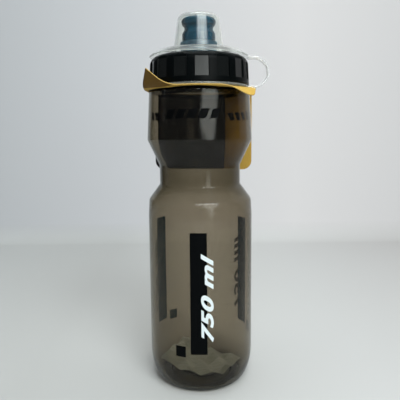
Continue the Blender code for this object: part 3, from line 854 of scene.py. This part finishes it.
def cap_profile():
    """The cap's section, with extra points down its side where the grip panels are cut."""
    rib_outside = GASKET_MIDDLE - GASKET_HALF - PLAY
    corners = [
        (CAP_HOLE, UNDERSIDE_Z, 0.2),
        (CAP_HOLE, BOSS_Z, 0.5),
        (BOSS_RADIUS, BOSS_Z, 0.5),
        (BOSS_RADIUS, CROWN_Z, 0.4),
        (CAP_TOP_RADIUS, CAP_EDGE_Z, 6.0),
        (CAP_RADIUS, CAP_Z, 0.5),
        (CAP_BORE, CAP_Z, 0.3),
        (CAP_BORE, SEAT_Z, 0),
        (rib_outside, SEAT_Z, 0),
        (rib_outside, UNDERSIDE_Z - RIB_DEPTH, 0.3),
        (rib_outside - RIB_WALL, UNDERSIDE_Z - RIB_DEPTH, 0.3),
        (rib_outside - RIB_WALL, UNDERSIDE_Z, 0),
    ]
    points = rounded(corners, closed=True, facet=0.01)
    side_radius = CAP_TOP_RADIUS - 0.1
    rows = 12
    fine = []
    for index, point in enumerate(points):
        ahead = points[(index + 1) % len(points)]
        fine.append(point)
        on_side = min(point.x, ahead.x) > side_radius and point.y > CAP_Z + 0.6
        if on_side and point.y - ahead.y > 1.0:
            last_row = PANEL_FOOT_Z + 1.0
            heights = [point.y + (last_row - point.y) * row / rows for row in range(1, rows + 1)]
            for height in heights + [PANEL_FOOT_Z + 0.35, PANEL_FOOT_Z]:
                share = (point.y - height) / (point.y - ahead.y)
                if 0 < share < 1:
                    fine.append(point.lerp(ahead, share))
    return fine


def panel_floor(z, angle):
    """Distance from the axis of a grip panel's flat floor."""
    lean = (CAP_RADIUS - CAP_TOP_RADIUS) / (CAP_EDGE_Z - CAP_Z)
    side = (CAP_RADIUS + CAP_TOP_RADIUS) / 2
    flat = side * math.cos(PANEL_HALF) - PANEL_DEPTH - lean * (z - PANEL_MIDDLE_Z)
    return flat / math.cos(angle)


def sector_angles():
    """Angles of a sector's columns: the rib and the panel's edge at each side, the flat floor between."""
    floor = PANEL_HALF - PANEL_EDGE
    flat = [floor * (2 * column / PANEL_COLUMNS - 1) for column in range(PANEL_COLUMNS + 1)]
    side = [PANEL_HALF, (PANEL_HALF + SECTOR / 2) / 2, SECTOR / 2]
    return [-angle for angle in reversed(side)] + flat + side


def make_sector():
    """One sector of the cap, with its grip panel cut in."""
    angles = sector_angles()
    columns = len(angles) - 1
    build = bmesh.new()
    spin_profile(build, cap_profile(), columns, True, angle=SECTOR, start=-SECTOR / 2)
    for vert in build.verts:
        even_angle = math.atan2(vert.co.y, vert.co.x)
        angle = angles[round((even_angle + SECTOR / 2) / SECTOR * columns)]
        reach = math.hypot(vert.co.x, vert.co.y) / MM
        z = vert.co.z / MM
        on_side = reach > 32.2 and z > PANEL_FOOT_Z + 0.1
        if on_side and abs(angle) <= PANEL_HALF - PANEL_EDGE + 1e-6:
            reach = min(reach, panel_floor(z, angle))
        vert.co = Vector((reach * math.cos(angle), reach * math.sin(angle), z)) * MM
    return build


def make_screw_cap(skin, polished):
    """The sector, repeated round the axis, with polished plastic on the panels."""
    build = bmesh.new()
    sector = make_sector()
    for index in range(PANEL_COUNT):
        added = join_copy(build, sector)
        turn = Matrix.Rotation(PANEL_PHASE + SECTOR * index, 3, "Z")
        bmesh.ops.rotate(build, verts=added, cent=(0, 0, 0), matrix=turn)
    sector.free()
    cap = finish_mesh(build, "screw_cap_shell", [skin, polished], sharp=30.0, merge=0.000004)
    for face in cap.data.polygons:
        x, y, z = face.center / MM
        turn = math.atan2(y, x) - PANEL_PHASE + SECTOR / 2
        off_panel = abs(turn % SECTOR - SECTOR / 2)
        on_panel = off_panel < PANEL_HALF - PANEL_EDGE and PANEL_FOOT_Z < z < PANEL_TOP_Z
        if on_panel and math.hypot(x, y) > 32.0:
            face.material_index = 1
    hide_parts("screw_cap")
    return cap


def make_gasket(material):
    inside = GASKET_MIDDLE - GASKET_HALF
    outside = GASKET_MIDDLE + GASKET_HALF
    section = rounded([
        (inside, GASKET_FOOT_Z, 0.4),
        (inside, GASKET_TOP_Z, 0.4),
        (outside, GASKET_TOP_Z, 0.4),
        (outside, GASKET_FOOT_Z, 0.4),
    ], closed=True)
    gasket = turned("cap_gasket_ring", section, 96, material)
    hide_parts("cap_gasket")
    return gasket


# ---------------------------------------------------------------- valve


def make_housing(material):
    flange_top = UNDERSIDE_Z - PLAY
    flange_foot = flange_top - FLANGE_THICK
    section = rounded([
        (VALVE_BORE, HOUSING_FOOT_Z, 0.15),
        (VALVE_BORE, COLLAR_Z, 0.4),
        (HOUSING_RADIUS, COLLAR_Z, 0.4),
        (HOUSING_RADIUS, flange_top, 0),
        (FLANGE_RADIUS, flange_top, 0.3),
        (FLANGE_RADIUS, flange_foot, 0.3),
        (HOUSING_RADIUS, flange_foot, 0),
        (HOUSING_RADIUS, HOUSING_FOOT_Z, 0.15),
    ], closed=True)
    housing = turned("valve_collar", section, 96, material)
    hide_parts("valve_housing")
    return housing


def nozzle_profile():
    groove_top = O_RING_Z + GROOVE_HALF
    groove_foot = O_RING_Z - GROOVE_HALF
    return rounded([
        (NOZZLE_BORE, NOZZLE_FOOT_Z, 0.2),
        (NOZZLE_BORE, OUTLET_Z, 2.0),
        (OUTLET_RADIUS, OUTLET_Z, 0.2),
        (OUTLET_RADIUS, NOZZLE_TOP_Z, 0.5),
        (LIP_RADIUS - 1.0, NOZZLE_TOP_Z, 1.3),
        (LIP_RADIUS, 250.6, 2.0),
        (SKIRT_RADIUS, 248.3, 2.2),
        (NOZZLE_WAIST, 246.6, 1.6),
        (NOZZLE_WAIST, 244.9, 1.6),
        (SKIRT_RADIUS, 242.2, 1.6),
        (SKIRT_RADIUS, groove_top, 0),
        (GROOVE_RADIUS, groove_top, 0.1),
        (GROOVE_RADIUS, groove_foot, 0.1),
        (SKIRT_RADIUS, groove_foot, 0),
        (SKIRT_RADIUS, NOZZLE_FOOT_Z, 0.3),
    ], closed=True, facet=0.008)


def make_nozzle(material):
    nozzle = turned("push_pull_nozzle", nozzle_profile(), 96, material, sharp=40.0)
    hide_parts("nozzle")
    return nozzle


def make_o_ring(material):
    centre = Vector((O_RING_RADIUS, O_RING_Z))
    steps = 16
    points = []
    for step in range(steps):
        angle = -2 * math.pi * step / steps
        points.append(centre + O_RING_HALF * Vector((math.cos(angle), math.sin(angle))))
    ring = turned("nozzle_seal_ring", points, 96, material, sharp=60.0)
    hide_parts("nozzle_o_ring")
    return ring


# ---------------------------------------------------------------- tether and cover


def make_tether_ring(material):
    """A flat ring with a thin collar that stands up between the neck and the cap's bore."""
    collar_outside = CAP_BORE - PLAY
    collar_inside = collar_outside - RING_COLLAR_WALL
    collar_top = RING_TOP_Z + RING_COLLAR_HEIGHT
    section = rounded([
        (collar_inside, RING_Z, 0.15),
        (collar_inside, collar_top, 0.2),
        (collar_outside, collar_top, 0.2),
        (collar_outside, RING_TOP_Z, 0.1),
        (RING_RADIUS, RING_TOP_Z, 0.5),
        (RING_RADIUS, RING_Z, 0.5),
    ], closed=True)
    ring = turned("tether_neck_ring", section, 120, material)
    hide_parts("tether_ring")
    return ring


def strap_line():
    """The strap's centreline in the XZ plane, from the ring's edge round to the cover's rim."""
    loop = (STRAP_HIGH_Z - STRAP_LOW_Z) / 2
    loop_x = STRAP_EDGE_X - STRAP_HALF_THICK - loop
    root_x = RING_RADIUS - STRAP_OVERLAP
    straight_x = RING_RADIUS + STRAP_STRAIGHT
    steps = 32
    line = [Vector((root_x, STRAP_LOW_Z)), Vector((straight_x, STRAP_LOW_Z))]
    for step in range(steps + 1):
        angle = math.pi * (step / steps - 0.5)
        line.append(Vector((loop_x + loop * math.cos(angle), STRAP_LOW_Z + loop + loop * math.sin(angle))))
    line += [Vector((straight_x, STRAP_HIGH_Z)), Vector((root_x, STRAP_HIGH_Z))]
    return line


def make_strap(material):
    """A flat strap with round edges, wider at its roots."""
    section = ((-1, -0.4), (-0.9, -1), (0.9, -1), (1, -0.4), (1, 0.4), (0.9, 1), (-0.9, 1), (-1, 0.4))
    build = bmesh.new()
    line = strap_line()
    loop_before = None
    for index, point in enumerate(line):
        before = line[max(index - 1, 0)]
        after = line[min(index + 1, len(line) - 1)]
        along = (after - before).normalized()
        out = Vector((along.y, -along.x))
        middle = math.sin(math.pi * index / (len(line) - 1))
        width = STRAP_HALF_WIDTH - 0.7 * middle
        thick = STRAP_HALF_THICK - 0.2 * middle
        ring = []
        for across, up in section:
            place = point + out * up * thick
            ring.append(build.verts.new((place.x * MM, across * width * MM, place.y * MM)))
        loop = [build.edges.new((ring[i], ring[(i + 1) % 8])) for i in range(8)]
        if loop_before:
            bmesh.ops.bridge_loops(build, edges=loop_before + loop)
        else:
            build.faces.new(ring)
        loop_before = loop
    build.faces.new(ring)
    strap = finish_mesh(build, "tether_band", [material], sharp=50.0)
    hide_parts("tether_strap")
    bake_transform(strap)
    return strap


def cover_profile():
    """The dome and its brim, with a rib inside that sits round the cap's boss."""
    outer = rounded([
        (0, COVER_TOP_Z, 0),
        (DOME_TOP_RADIUS, COVER_TOP_Z, 4.2),
        (DOME_FOOT_RADIUS, DOME_FOOT_Z, 1.6),
        (BRIM_BEND_RADIUS, BRIM_BEND_Z, 4.0),
        (RING_RADIUS, COVER_RIM_Z, 0),
    ], facet=0.01)
    inner = inset(outer, COVER_WALL)
    dome = [p for p in inner if p.y > 232.6]
    brim = [p for p in inner if p.x > 18.5]
    rib_inside = BOSS_RADIUS + PLAY
    rib_foot = 228.1
    wall = DOME_FOOT_RADIUS - COVER_WALL
    rib = rounded([
        (wall - 0.16, 232.5, 0),
        (rib_inside, 232.2, 0.2),
        (rib_inside, rib_foot, 0.3),
        (wall + 0.45, rib_foot, 0.3),
        (wall + 0.45, 230.55, 0.3),
        (18.6, 230.52, 0),
    ], facet=0.01)
    return outer + list(reversed(dome + rib[1:] + brim))


def make_cover(material):
    cover = turned("dust_cover_shell", cover_profile(), 120, material, closed=False, sharp=35.0)
    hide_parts("dust_cover")
    return cover


# ---------------------------------------------------------------- card and paper


def flat_outline(name, outlines):
    """A flat sheet with the first outline as its edge and the others as holes."""
    curve = bpy.data.curves.new(name, "CURVE")
    curve.dimensions = "2D"
    curve.fill_mode = "BOTH"
    for points in outlines:
        spline = curve.splines.new("POLY")
        spline.points.add(len(points) - 1)
        for point, (x, y) in zip(spline.points, points):
            point.co = (x * MM, y * MM, 0, 1)
        spline.use_cyclic_u = True
    return curve_mesh(name, curve)


def bend(build, heading, distance, angle, width, steps):
    """A soft fold: the sheet beyond a line square to the heading turns up by the angle."""
    outward = Vector((math.cos(heading), math.sin(heading), 0))
    flat = {vert: vert.co.copy() for vert in build.verts}
    for step in reversed(range(steps)):
        reach = (distance + width * (step / (steps - 1) - 0.5)) * MM
        point = outward * reach
        beyond = [v for v in build.verts if (flat[v] - point).dot(outward) > 0.000002]
        turn = Matrix.Rotation(angle / steps, 3, outward.cross(Vector((0, 0, 1))))
        bmesh.ops.rotate(build, verts=beyond, cent=point, matrix=turn)


def cut_lines(build, heading, first, spacing, count):
    """Evenly spaced cuts square to the heading, so that the sheet can bend there."""
    outward = Vector((math.cos(heading), math.sin(heading), 0))
    for index in range(count):
        cut(build, outward * (first + spacing * index), outward, 0.0000005)


def tag_blank(fold_middle):
    """The card's flat blank, with its hole for the neck, cut where it bends."""
    half = TAG_HALF_WIDTH
    rear = fold_middle + TAG_FOLD * math.pi / 4 + TAG_PANEL_DROP
    outline = rounded([
        (-half + 2.6, -TAG_FRONT, 0.4),
        (half, -TAG_FRONT, TAG_CORNER),
        (half, rear, TAG_CORNER),
        (-half, rear, TAG_CORNER),
    ], closed=True, facet=0.02)
    around = [2 * math.pi * step / 96 for step in range(96)]
    hole = [Vector((TAG_HOLE * math.cos(angle), TAG_HOLE * math.sin(angle))) for angle in around]
    mesh = flat_outline("tag_flat", [outline, hole])
    build = bmesh.new()
    build.from_mesh(mesh)
    bpy.data.meshes.remove(mesh)
    bmesh.ops.remove_doubles(build, verts=build.verts, dist=0.000001)
    cut_lines(build, EAR_HEADING, 34.0, 1.125, 9)
    cut_lines(build, EAR_HEADING, 45.0, 2.2, 3)
    cut_lines(build, LOBE_HEADING, 36.0, 0.9, 18)
    cut_lines(build, math.pi / 2, fold_middle - 0.95, 0.19, 11)
    cut_lines(build, math.pi / 2, -36.0, 3.0, 23)
    cut_lines(build, math.pi / 2, 41.0, 4.0, 14)
    cut_lines(build, 0.0, -36.0, 4.0, 19)
    return build


def soften_card(build):
    """A slight wave in the rear panel and a slight bow in the front edge."""
    for vert in build.verts:
        x, y, z = vert.co / MM
        if y > 36 and z < -3:
            vert.co.y += 0.25 * MM * math.sin(x / 9.0) * min(1.0, (-3 - z) / 20)
        elif y < -31 and abs(x) < 27:
            vert.co.z += 1.1 * MM * min(1.0, (-31 - y) / 6.0) * math.cos(x / 27 * math.pi / 2)


def make_hang_tag(under, top, edge):
    """The card: the neck goes through it, it is bent down behind, its front corners curl up and down."""
    fold_middle = TAG_PANEL_Y - TAG_FOLD * (1 - math.pi / 4)
    build = tag_blank(fold_middle)
    bend(build, EAR_HEADING, 38.5, math.radians(62), 9.0, 9)
    bend(build, LOBE_HEADING, 40.5, math.radians(-38), 8.0, 9)
    bend(build, math.pi / 2, fold_middle, -math.pi / 2, TAG_FOLD * math.pi / 2, 10)
    bmesh.ops.recalc_face_normals(build, faces=build.faces)
    soften_card(build)
    bmesh.ops.rotate(build, verts=build.verts, cent=(0, 0, 0), matrix=Matrix.Rotation(TAG_TURN, 3, "Z"))
    bmesh.ops.translate(build, verts=build.verts, vec=(0, 0, TAG_Z * MM))
    up = sum(face.normal.z for face in build.faces if abs(face.calc_center_median().y) < 0.03)
    if up < 0:
        bmesh.ops.reverse_faces(build, faces=build.faces)
    tag = make_object(build, "hang_tag_card", [top, under, edge])
    solid = tag.modifiers.new("card", "SOLIDIFY")
    solid.thickness = TAG_CARD * MM
    solid.offset = 0
    solid.use_even_offset = True
    solid.material_offset = 1
    solid.material_offset_rim = 2
    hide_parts("hang_tag")
    return tag


def make_leaflet(material):
    """A crumpled slip of paper: flat facets between creases, its corners up against the wall."""
    rows, columns = len(LEAFLET_HEIGHTS), len(LEAFLET_HEIGHTS[0])
    build = bmesh.new()
    bmesh.ops.create_grid(build, x_segments=columns - 1, y_segments=rows - 1, size=0.5)
    for vert in build.verts:
        column = round((vert.co.x + 0.5) * (columns - 1))
        row = round((vert.co.y + 0.5) * (rows - 1))
        inside = 0 < column < columns - 1 and 0 < row < rows - 1
        shift = 1.6 * math.sin(2.3 * column + 4.1 * row) if inside else 0.0
        x = vert.co.x * LEAFLET_LENGTH + shift
        y = vert.co.y * LEAFLET_WIDTH - 0.8 * shift
        vert.co = Vector((x, y, LEAFLET_HEIGHTS[row][column])) * MM
    bmesh.ops.triangulate(build, faces=build.faces, quad_method="ALTERNATE")
    bmesh.ops.subdivide_edges(build, edges=build.edges, cuts=7, use_grid_fill=True)
    axes = {"use_axis_x": True, "use_axis_y": True, "use_axis_z": True}
    bmesh.ops.smooth_vert(build, verts=build.verts, factor=0.5, **axes)
    for vert in build.verts:
        x, y = vert.co.x / MM, vert.co.y / MM
        vert.co.z += 0.12 * MM * math.sin(x * 0.9 + y * 0.4) * math.sin(y * 0.8 - x * 0.3)
    bmesh.ops.rotate(build, verts=build.verts, cent=(0, 0, 0), matrix=Matrix.Rotation(LEAFLET_TURN, 3, "Z"))
    slip = make_object(build, "leaflet_slip", [material])
    solid = slip.modifiers.new("paper", "SOLIDIFY")
    solid.thickness = LEAFLET_PAPER * MM
    solid.offset = 0
    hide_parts("care_leaflet")
    return slip


# ---------------------------------------------------------------- studio


def backdrop_material():
    """Pale grey, with painted light: a falloff lighter to the right, floor tones with a painted band of
    light under the bottle, and painted shade, near-black, on the backdrop left of about 0.4 m.
    """
    n = Nodes("pale_studio_grey")
    across = n.spread(n.axis("X"), -0.35, 0.35, 0.0, 1.0)
    # Painted light falloff: the upright backdrop is darker at the left, lightest right of the middle and
    # darker again at the far right.
    upright_tone_and_painted_falloff = n.ramp(across, [
        (0.0, (0.50, 0.525, 0.545)),
        (0.33, (0.61, 0.63, 0.655)),
        (0.72, (0.735, 0.73, 0.735)),
        (1.0, (0.65, 0.65, 0.655)),
    ])
    cloud = n.spread(n.noise(3.0, 2.0), 0.3, 0.7, 0.0, 0.06)
    upright_tone_and_painted_falloff = n.mix_colour(cloud, upright_tone_and_painted_falloff, (0.55, 0.57, 0.58))
    # Painted light on the floor: a brighter band at the bottle's middle lifts the floor where its shadow
    # falls, and the floor darkens towards the right.
    floor_tone_and_painted_light = n.ramp(across, [
        (0.0, (0.565, 0.57, 0.565)),
        (0.32, (0.55, 0.55, 0.54)),
        (0.5, (0.635, 0.635, 0.625)),
        (0.68, (0.605, 0.60, 0.595)),
        (0.95, (0.53, 0.515, 0.51)),
    ])
    tone = n.mix_colour(n.spread(n.axis("Z"), 0.0, 0.03, 0.0, 1.0), floor_tone_and_painted_light, upright_tone_and_painted_falloff)
    # Painted shade: the backdrop turns near-black left of about 0.4 m, above the floor, which darkens what
    # the bottle reflects on its left.
    left_painted_shade = n.spread(n.axis("X"), -0.50, -0.37, 1.0, 0.0)
    high = n.spread(n.axis("Z"), 0.03, 0.08, 0.0, 1.0)
    tone = n.mix_colour(n.maths("MULTIPLY", left_painted_shade, high), tone, (0.05, 0.055, 0.06))
    # Painted light: the upright backdrop partly glows, emission in its own tones.
    glow = n.tree.nodes.new("ShaderNodeEmission")
    n.put(tone, glow.inputs["Color"])
    glow.inputs["Strength"].default_value = 1.0
    cloth = n.tree.nodes.new("ShaderNodeBsdfDiffuse")
    n.put(tone, cloth.inputs["Color"])
    upright = n.spread(n.axis("Z"), 0.001, 0.03, 0.0, 0.55)
    return n.show(n.mix(upright, cloth.outputs[0], glow.outputs[0]))


def make_studio():
    """A floor that bends up into a backdrop."""
    line = [(FLOOR_FRONT, 0.0)]
    steps = 12
    for step in range(steps + 1):
        angle = math.pi / 2 * step / steps
        y = BACKDROP_Y - BACKDROP_BEND + BACKDROP_BEND * math.sin(angle)
        line.append((y, BACKDROP_BEND - BACKDROP_BEND * math.cos(angle)))
    line.append((BACKDROP_Y, BACKDROP_HEIGHT))
    build = bmesh.new()
    verts = [build.verts.new((-BACKDROP_HALF, y, z)) for y, z in line]
    edges = [build.edges.new(pair) for pair in zip(verts, verts[1:])]
    swept = bmesh.ops.extrude_edge_only(build, edges=edges)["geom"]
    far = [item for item in swept if isinstance(item, bmesh.types.BMVert)]
    bmesh.ops.translate(build, verts=far, vec=(2 * BACKDROP_HALF, 0, 0))
    bmesh.ops.recalc_face_normals(build, faces=build.faces)
    make_object(build, "studio_sweep", [backdrop_material()])


def polar(azimuth, elevation, distance):
    """A place round the bottle's middle; azimuth 0 is the front and grows to the right."""
    turn, rise = math.radians(azimuth), math.radians(elevation)
    reach = distance * math.cos(rise)
    return (reach * math.sin(turn), -reach * math.cos(turn), AIM[2] + distance * math.sin(rise))


def fade_lamp_edges(data):
    """The cloth of a softbox is brightest in the middle and fades towards its frame."""
    black, white = (0.0, 0.0, 0.0, 1.0), (1.0, 1.0, 1.0, 1.0)
    data.use_nodes = True
    tree = data.node_tree
    face = tree.nodes.new("ShaderNodeNewGeometry").outputs["Parametric"]
    split = tree.nodes.new("ShaderNodeSeparateXYZ")
    tree.links.new(face, split.inputs[0])
    product = tree.nodes.new("ShaderNodeMath")
    product.operation = "MULTIPLY"
    for index, axis in enumerate("XY"):
        ramp = tree.nodes.new("ShaderNodeValToRGB")
        ramp.color_ramp.interpolation = "EASE"
        stops = ramp.color_ramp.elements
        stops[0].position, stops[0].color = 0.0, black
        stops[1].position, stops[1].color = LAMP_FADE, white
        stops.new(1.0 - LAMP_FADE).color = white
        stops.new(1.0).color = black
        tree.links.new(split.outputs[axis], ramp.inputs["Fac"])
        tree.links.new(ramp.outputs["Color"], product.inputs[index])
    tree.links.new(product.outputs[0], tree.nodes["Emission"].inputs["Strength"])


def soft_lamp(name, place, width, height, radiance, colour, roll=0):
    """A rectangular lamp that looks at the bottle. Its power comes from the radiance of its face."""
    data = bpy.data.lights.new(name, "AREA")
    data.shape = "RECTANGLE"
    data.size = width
    data.size_y = height
    data.energy = radiance * math.pi * width * height
    data.color = colour
    fade_lamp_edges(data)
    lamp = bpy.data.objects.new(name, data)
    aim = (Vector(AIM) - Vector(place)).to_track_quat("-Z", "Y").to_matrix()
    turned_aim = aim @ Matrix.Rotation(math.radians(roll), 3, "Z")
    lamp.matrix_world = Matrix.Translation(place) @ turned_aim.to_4x4()
    bpy.context.scene.collection.objects.link(lamp)


def make_lamps():
    soft_lamp("key_softbox", polar(22, 14, 1.05), 0.72, 0.88, 4.2, WARM, roll=-28)
    soft_lamp("upper_softbox", polar(18, 42, 1.15), 1.15, 0.60, 7.5, COOL)
    soft_lamp("overhead_softbox", (0.05, 0.10, 1.5), 1.4, 1.4, 3.0, COOL)
    soft_lamp("left_strip", polar(-83, 20, 1.0), 0.05, 0.7, 0.7, COOL)
    soft_lamp("right_strip", polar(66, 20, 1.0), 0.05, 0.6, 0.4, WARM)


def make_world():
    world = bpy.data.worlds.new("studio_air")
    world.use_nodes = True
    shade = world.node_tree.nodes["Background"]
    shade.inputs["Color"].default_value = (0.60, 0.63, 0.65, 1.0)
    shade.inputs["Strength"].default_value = 0.2
    bpy.context.scene.world = world


def make_camera():
    data = bpy.data.cameras.new("camera")
    data.sensor_width = 36.0
    data.lens = CAMERA_LENS
    data.shift_y = CAMERA_SHIFT
    data.clip_start = 0.01
    data.clip_end = 20.0
    camera = bpy.data.objects.new("camera", data)
    upright = Matrix.Rotation(math.pi / 2 - CAMERA_TILT, 4, "X")
    camera.matrix_world = Matrix.Translation(CAMERA_PLACE) @ upright @ Matrix.Rotation(CAMERA_ROLL, 4, "Z")
    bpy.context.scene.collection.objects.link(camera)
    bpy.context.scene.camera = camera


# ---------------------------------------------------------------- put together


def make_bottle():
    smoke = smoky_plastic()
    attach(make_body(smoke), "bottle")
    threads = thread_ridge("neck_thread", NECK_RADIUS, NECK_THREAD_Z, 0.3, False, smoke)
    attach(threads, "bottle")
    black_ink = print_ink("black_ink", (0.001, 0.0015, 0.0018), (0.002, 0.0026, 0.003), 0.35)
    teal_back = print_ink("ink_seen_through_wall", (0.001, 0.075, 0.130), (0.002, 0.090, 0.150), 0.4)
    white_ink = print_ink("white_ink", (0.76, 0.82, 0.84), (0.70, 0.77, 0.80), 0.4)
    grey_back = print_ink("white_ink_back", (0.10, 0.11, 0.11), (0.13, 0.14, 0.14), 0.5)
    dark_ink = print_ink("dark_ink", (0.001, 0.0013, 0.0015), (0.002, 0.0024, 0.0026), 0.4)
    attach(make_stripes(black_ink, teal_back), "bottle")
    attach(make_capacity_marks(white_ink, grey_back), "bottle")
    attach(make_upper_marks(dark_ink), "bottle")
    printed = card_surface("printed_card_side", (0.48, 0.30, 0.06), (0.40, 0.25, 0.05), card_print)
    gold = card_surface("gold_card_side", (0.64, 0.41, 0.085), (0.56, 0.345, 0.065))
    raw = card_surface("raw_card_edge", (0.60, 0.40, 0.12), (0.50, 0.32, 0.09))
    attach(make_hang_tag(printed, gold, raw), "bottle")
    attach(make_leaflet(leaflet_paper()), "bottle")


def make_cap_group(valve_core):
    black = black_plastic()
    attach(make_gasket(grey_silicone()), "cap_seal")
    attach(make_screw_cap(black, polished_black()), "cap")
    inside = thread_ridge("cap_thread", CAP_BORE, CAP_THREAD_Z, 0.0, True, black)
    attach(inside, "cap")
    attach(make_housing(frosted_plastic()), "cap")
    valve_core.data.materials.clear()
    valve_core.data.materials.append(white_plastic())
    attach(make_nozzle(teal_plastic()), "mouthpiece")
    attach(make_o_ring(black_rubber()), "mouthpiece")


def make_tether_group():
    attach(make_tether_ring(ring_plastic()), "neck_ring")
    make_strap(strap_plastic())
    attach(make_cover(cover_plastic()), "cover")


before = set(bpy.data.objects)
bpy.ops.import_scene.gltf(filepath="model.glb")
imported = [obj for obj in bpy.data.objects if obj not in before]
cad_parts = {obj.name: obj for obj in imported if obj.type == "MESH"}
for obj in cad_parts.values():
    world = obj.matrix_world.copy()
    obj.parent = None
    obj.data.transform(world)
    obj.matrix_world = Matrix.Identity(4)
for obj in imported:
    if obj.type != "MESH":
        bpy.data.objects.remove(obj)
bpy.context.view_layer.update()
make_bottle()
make_cap_group(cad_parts["valve_core"])
make_tether_group()
make_studio()
make_lamps()
make_world()
make_camera()
bpy.context.scene.view_settings.view_transform = "Standard"
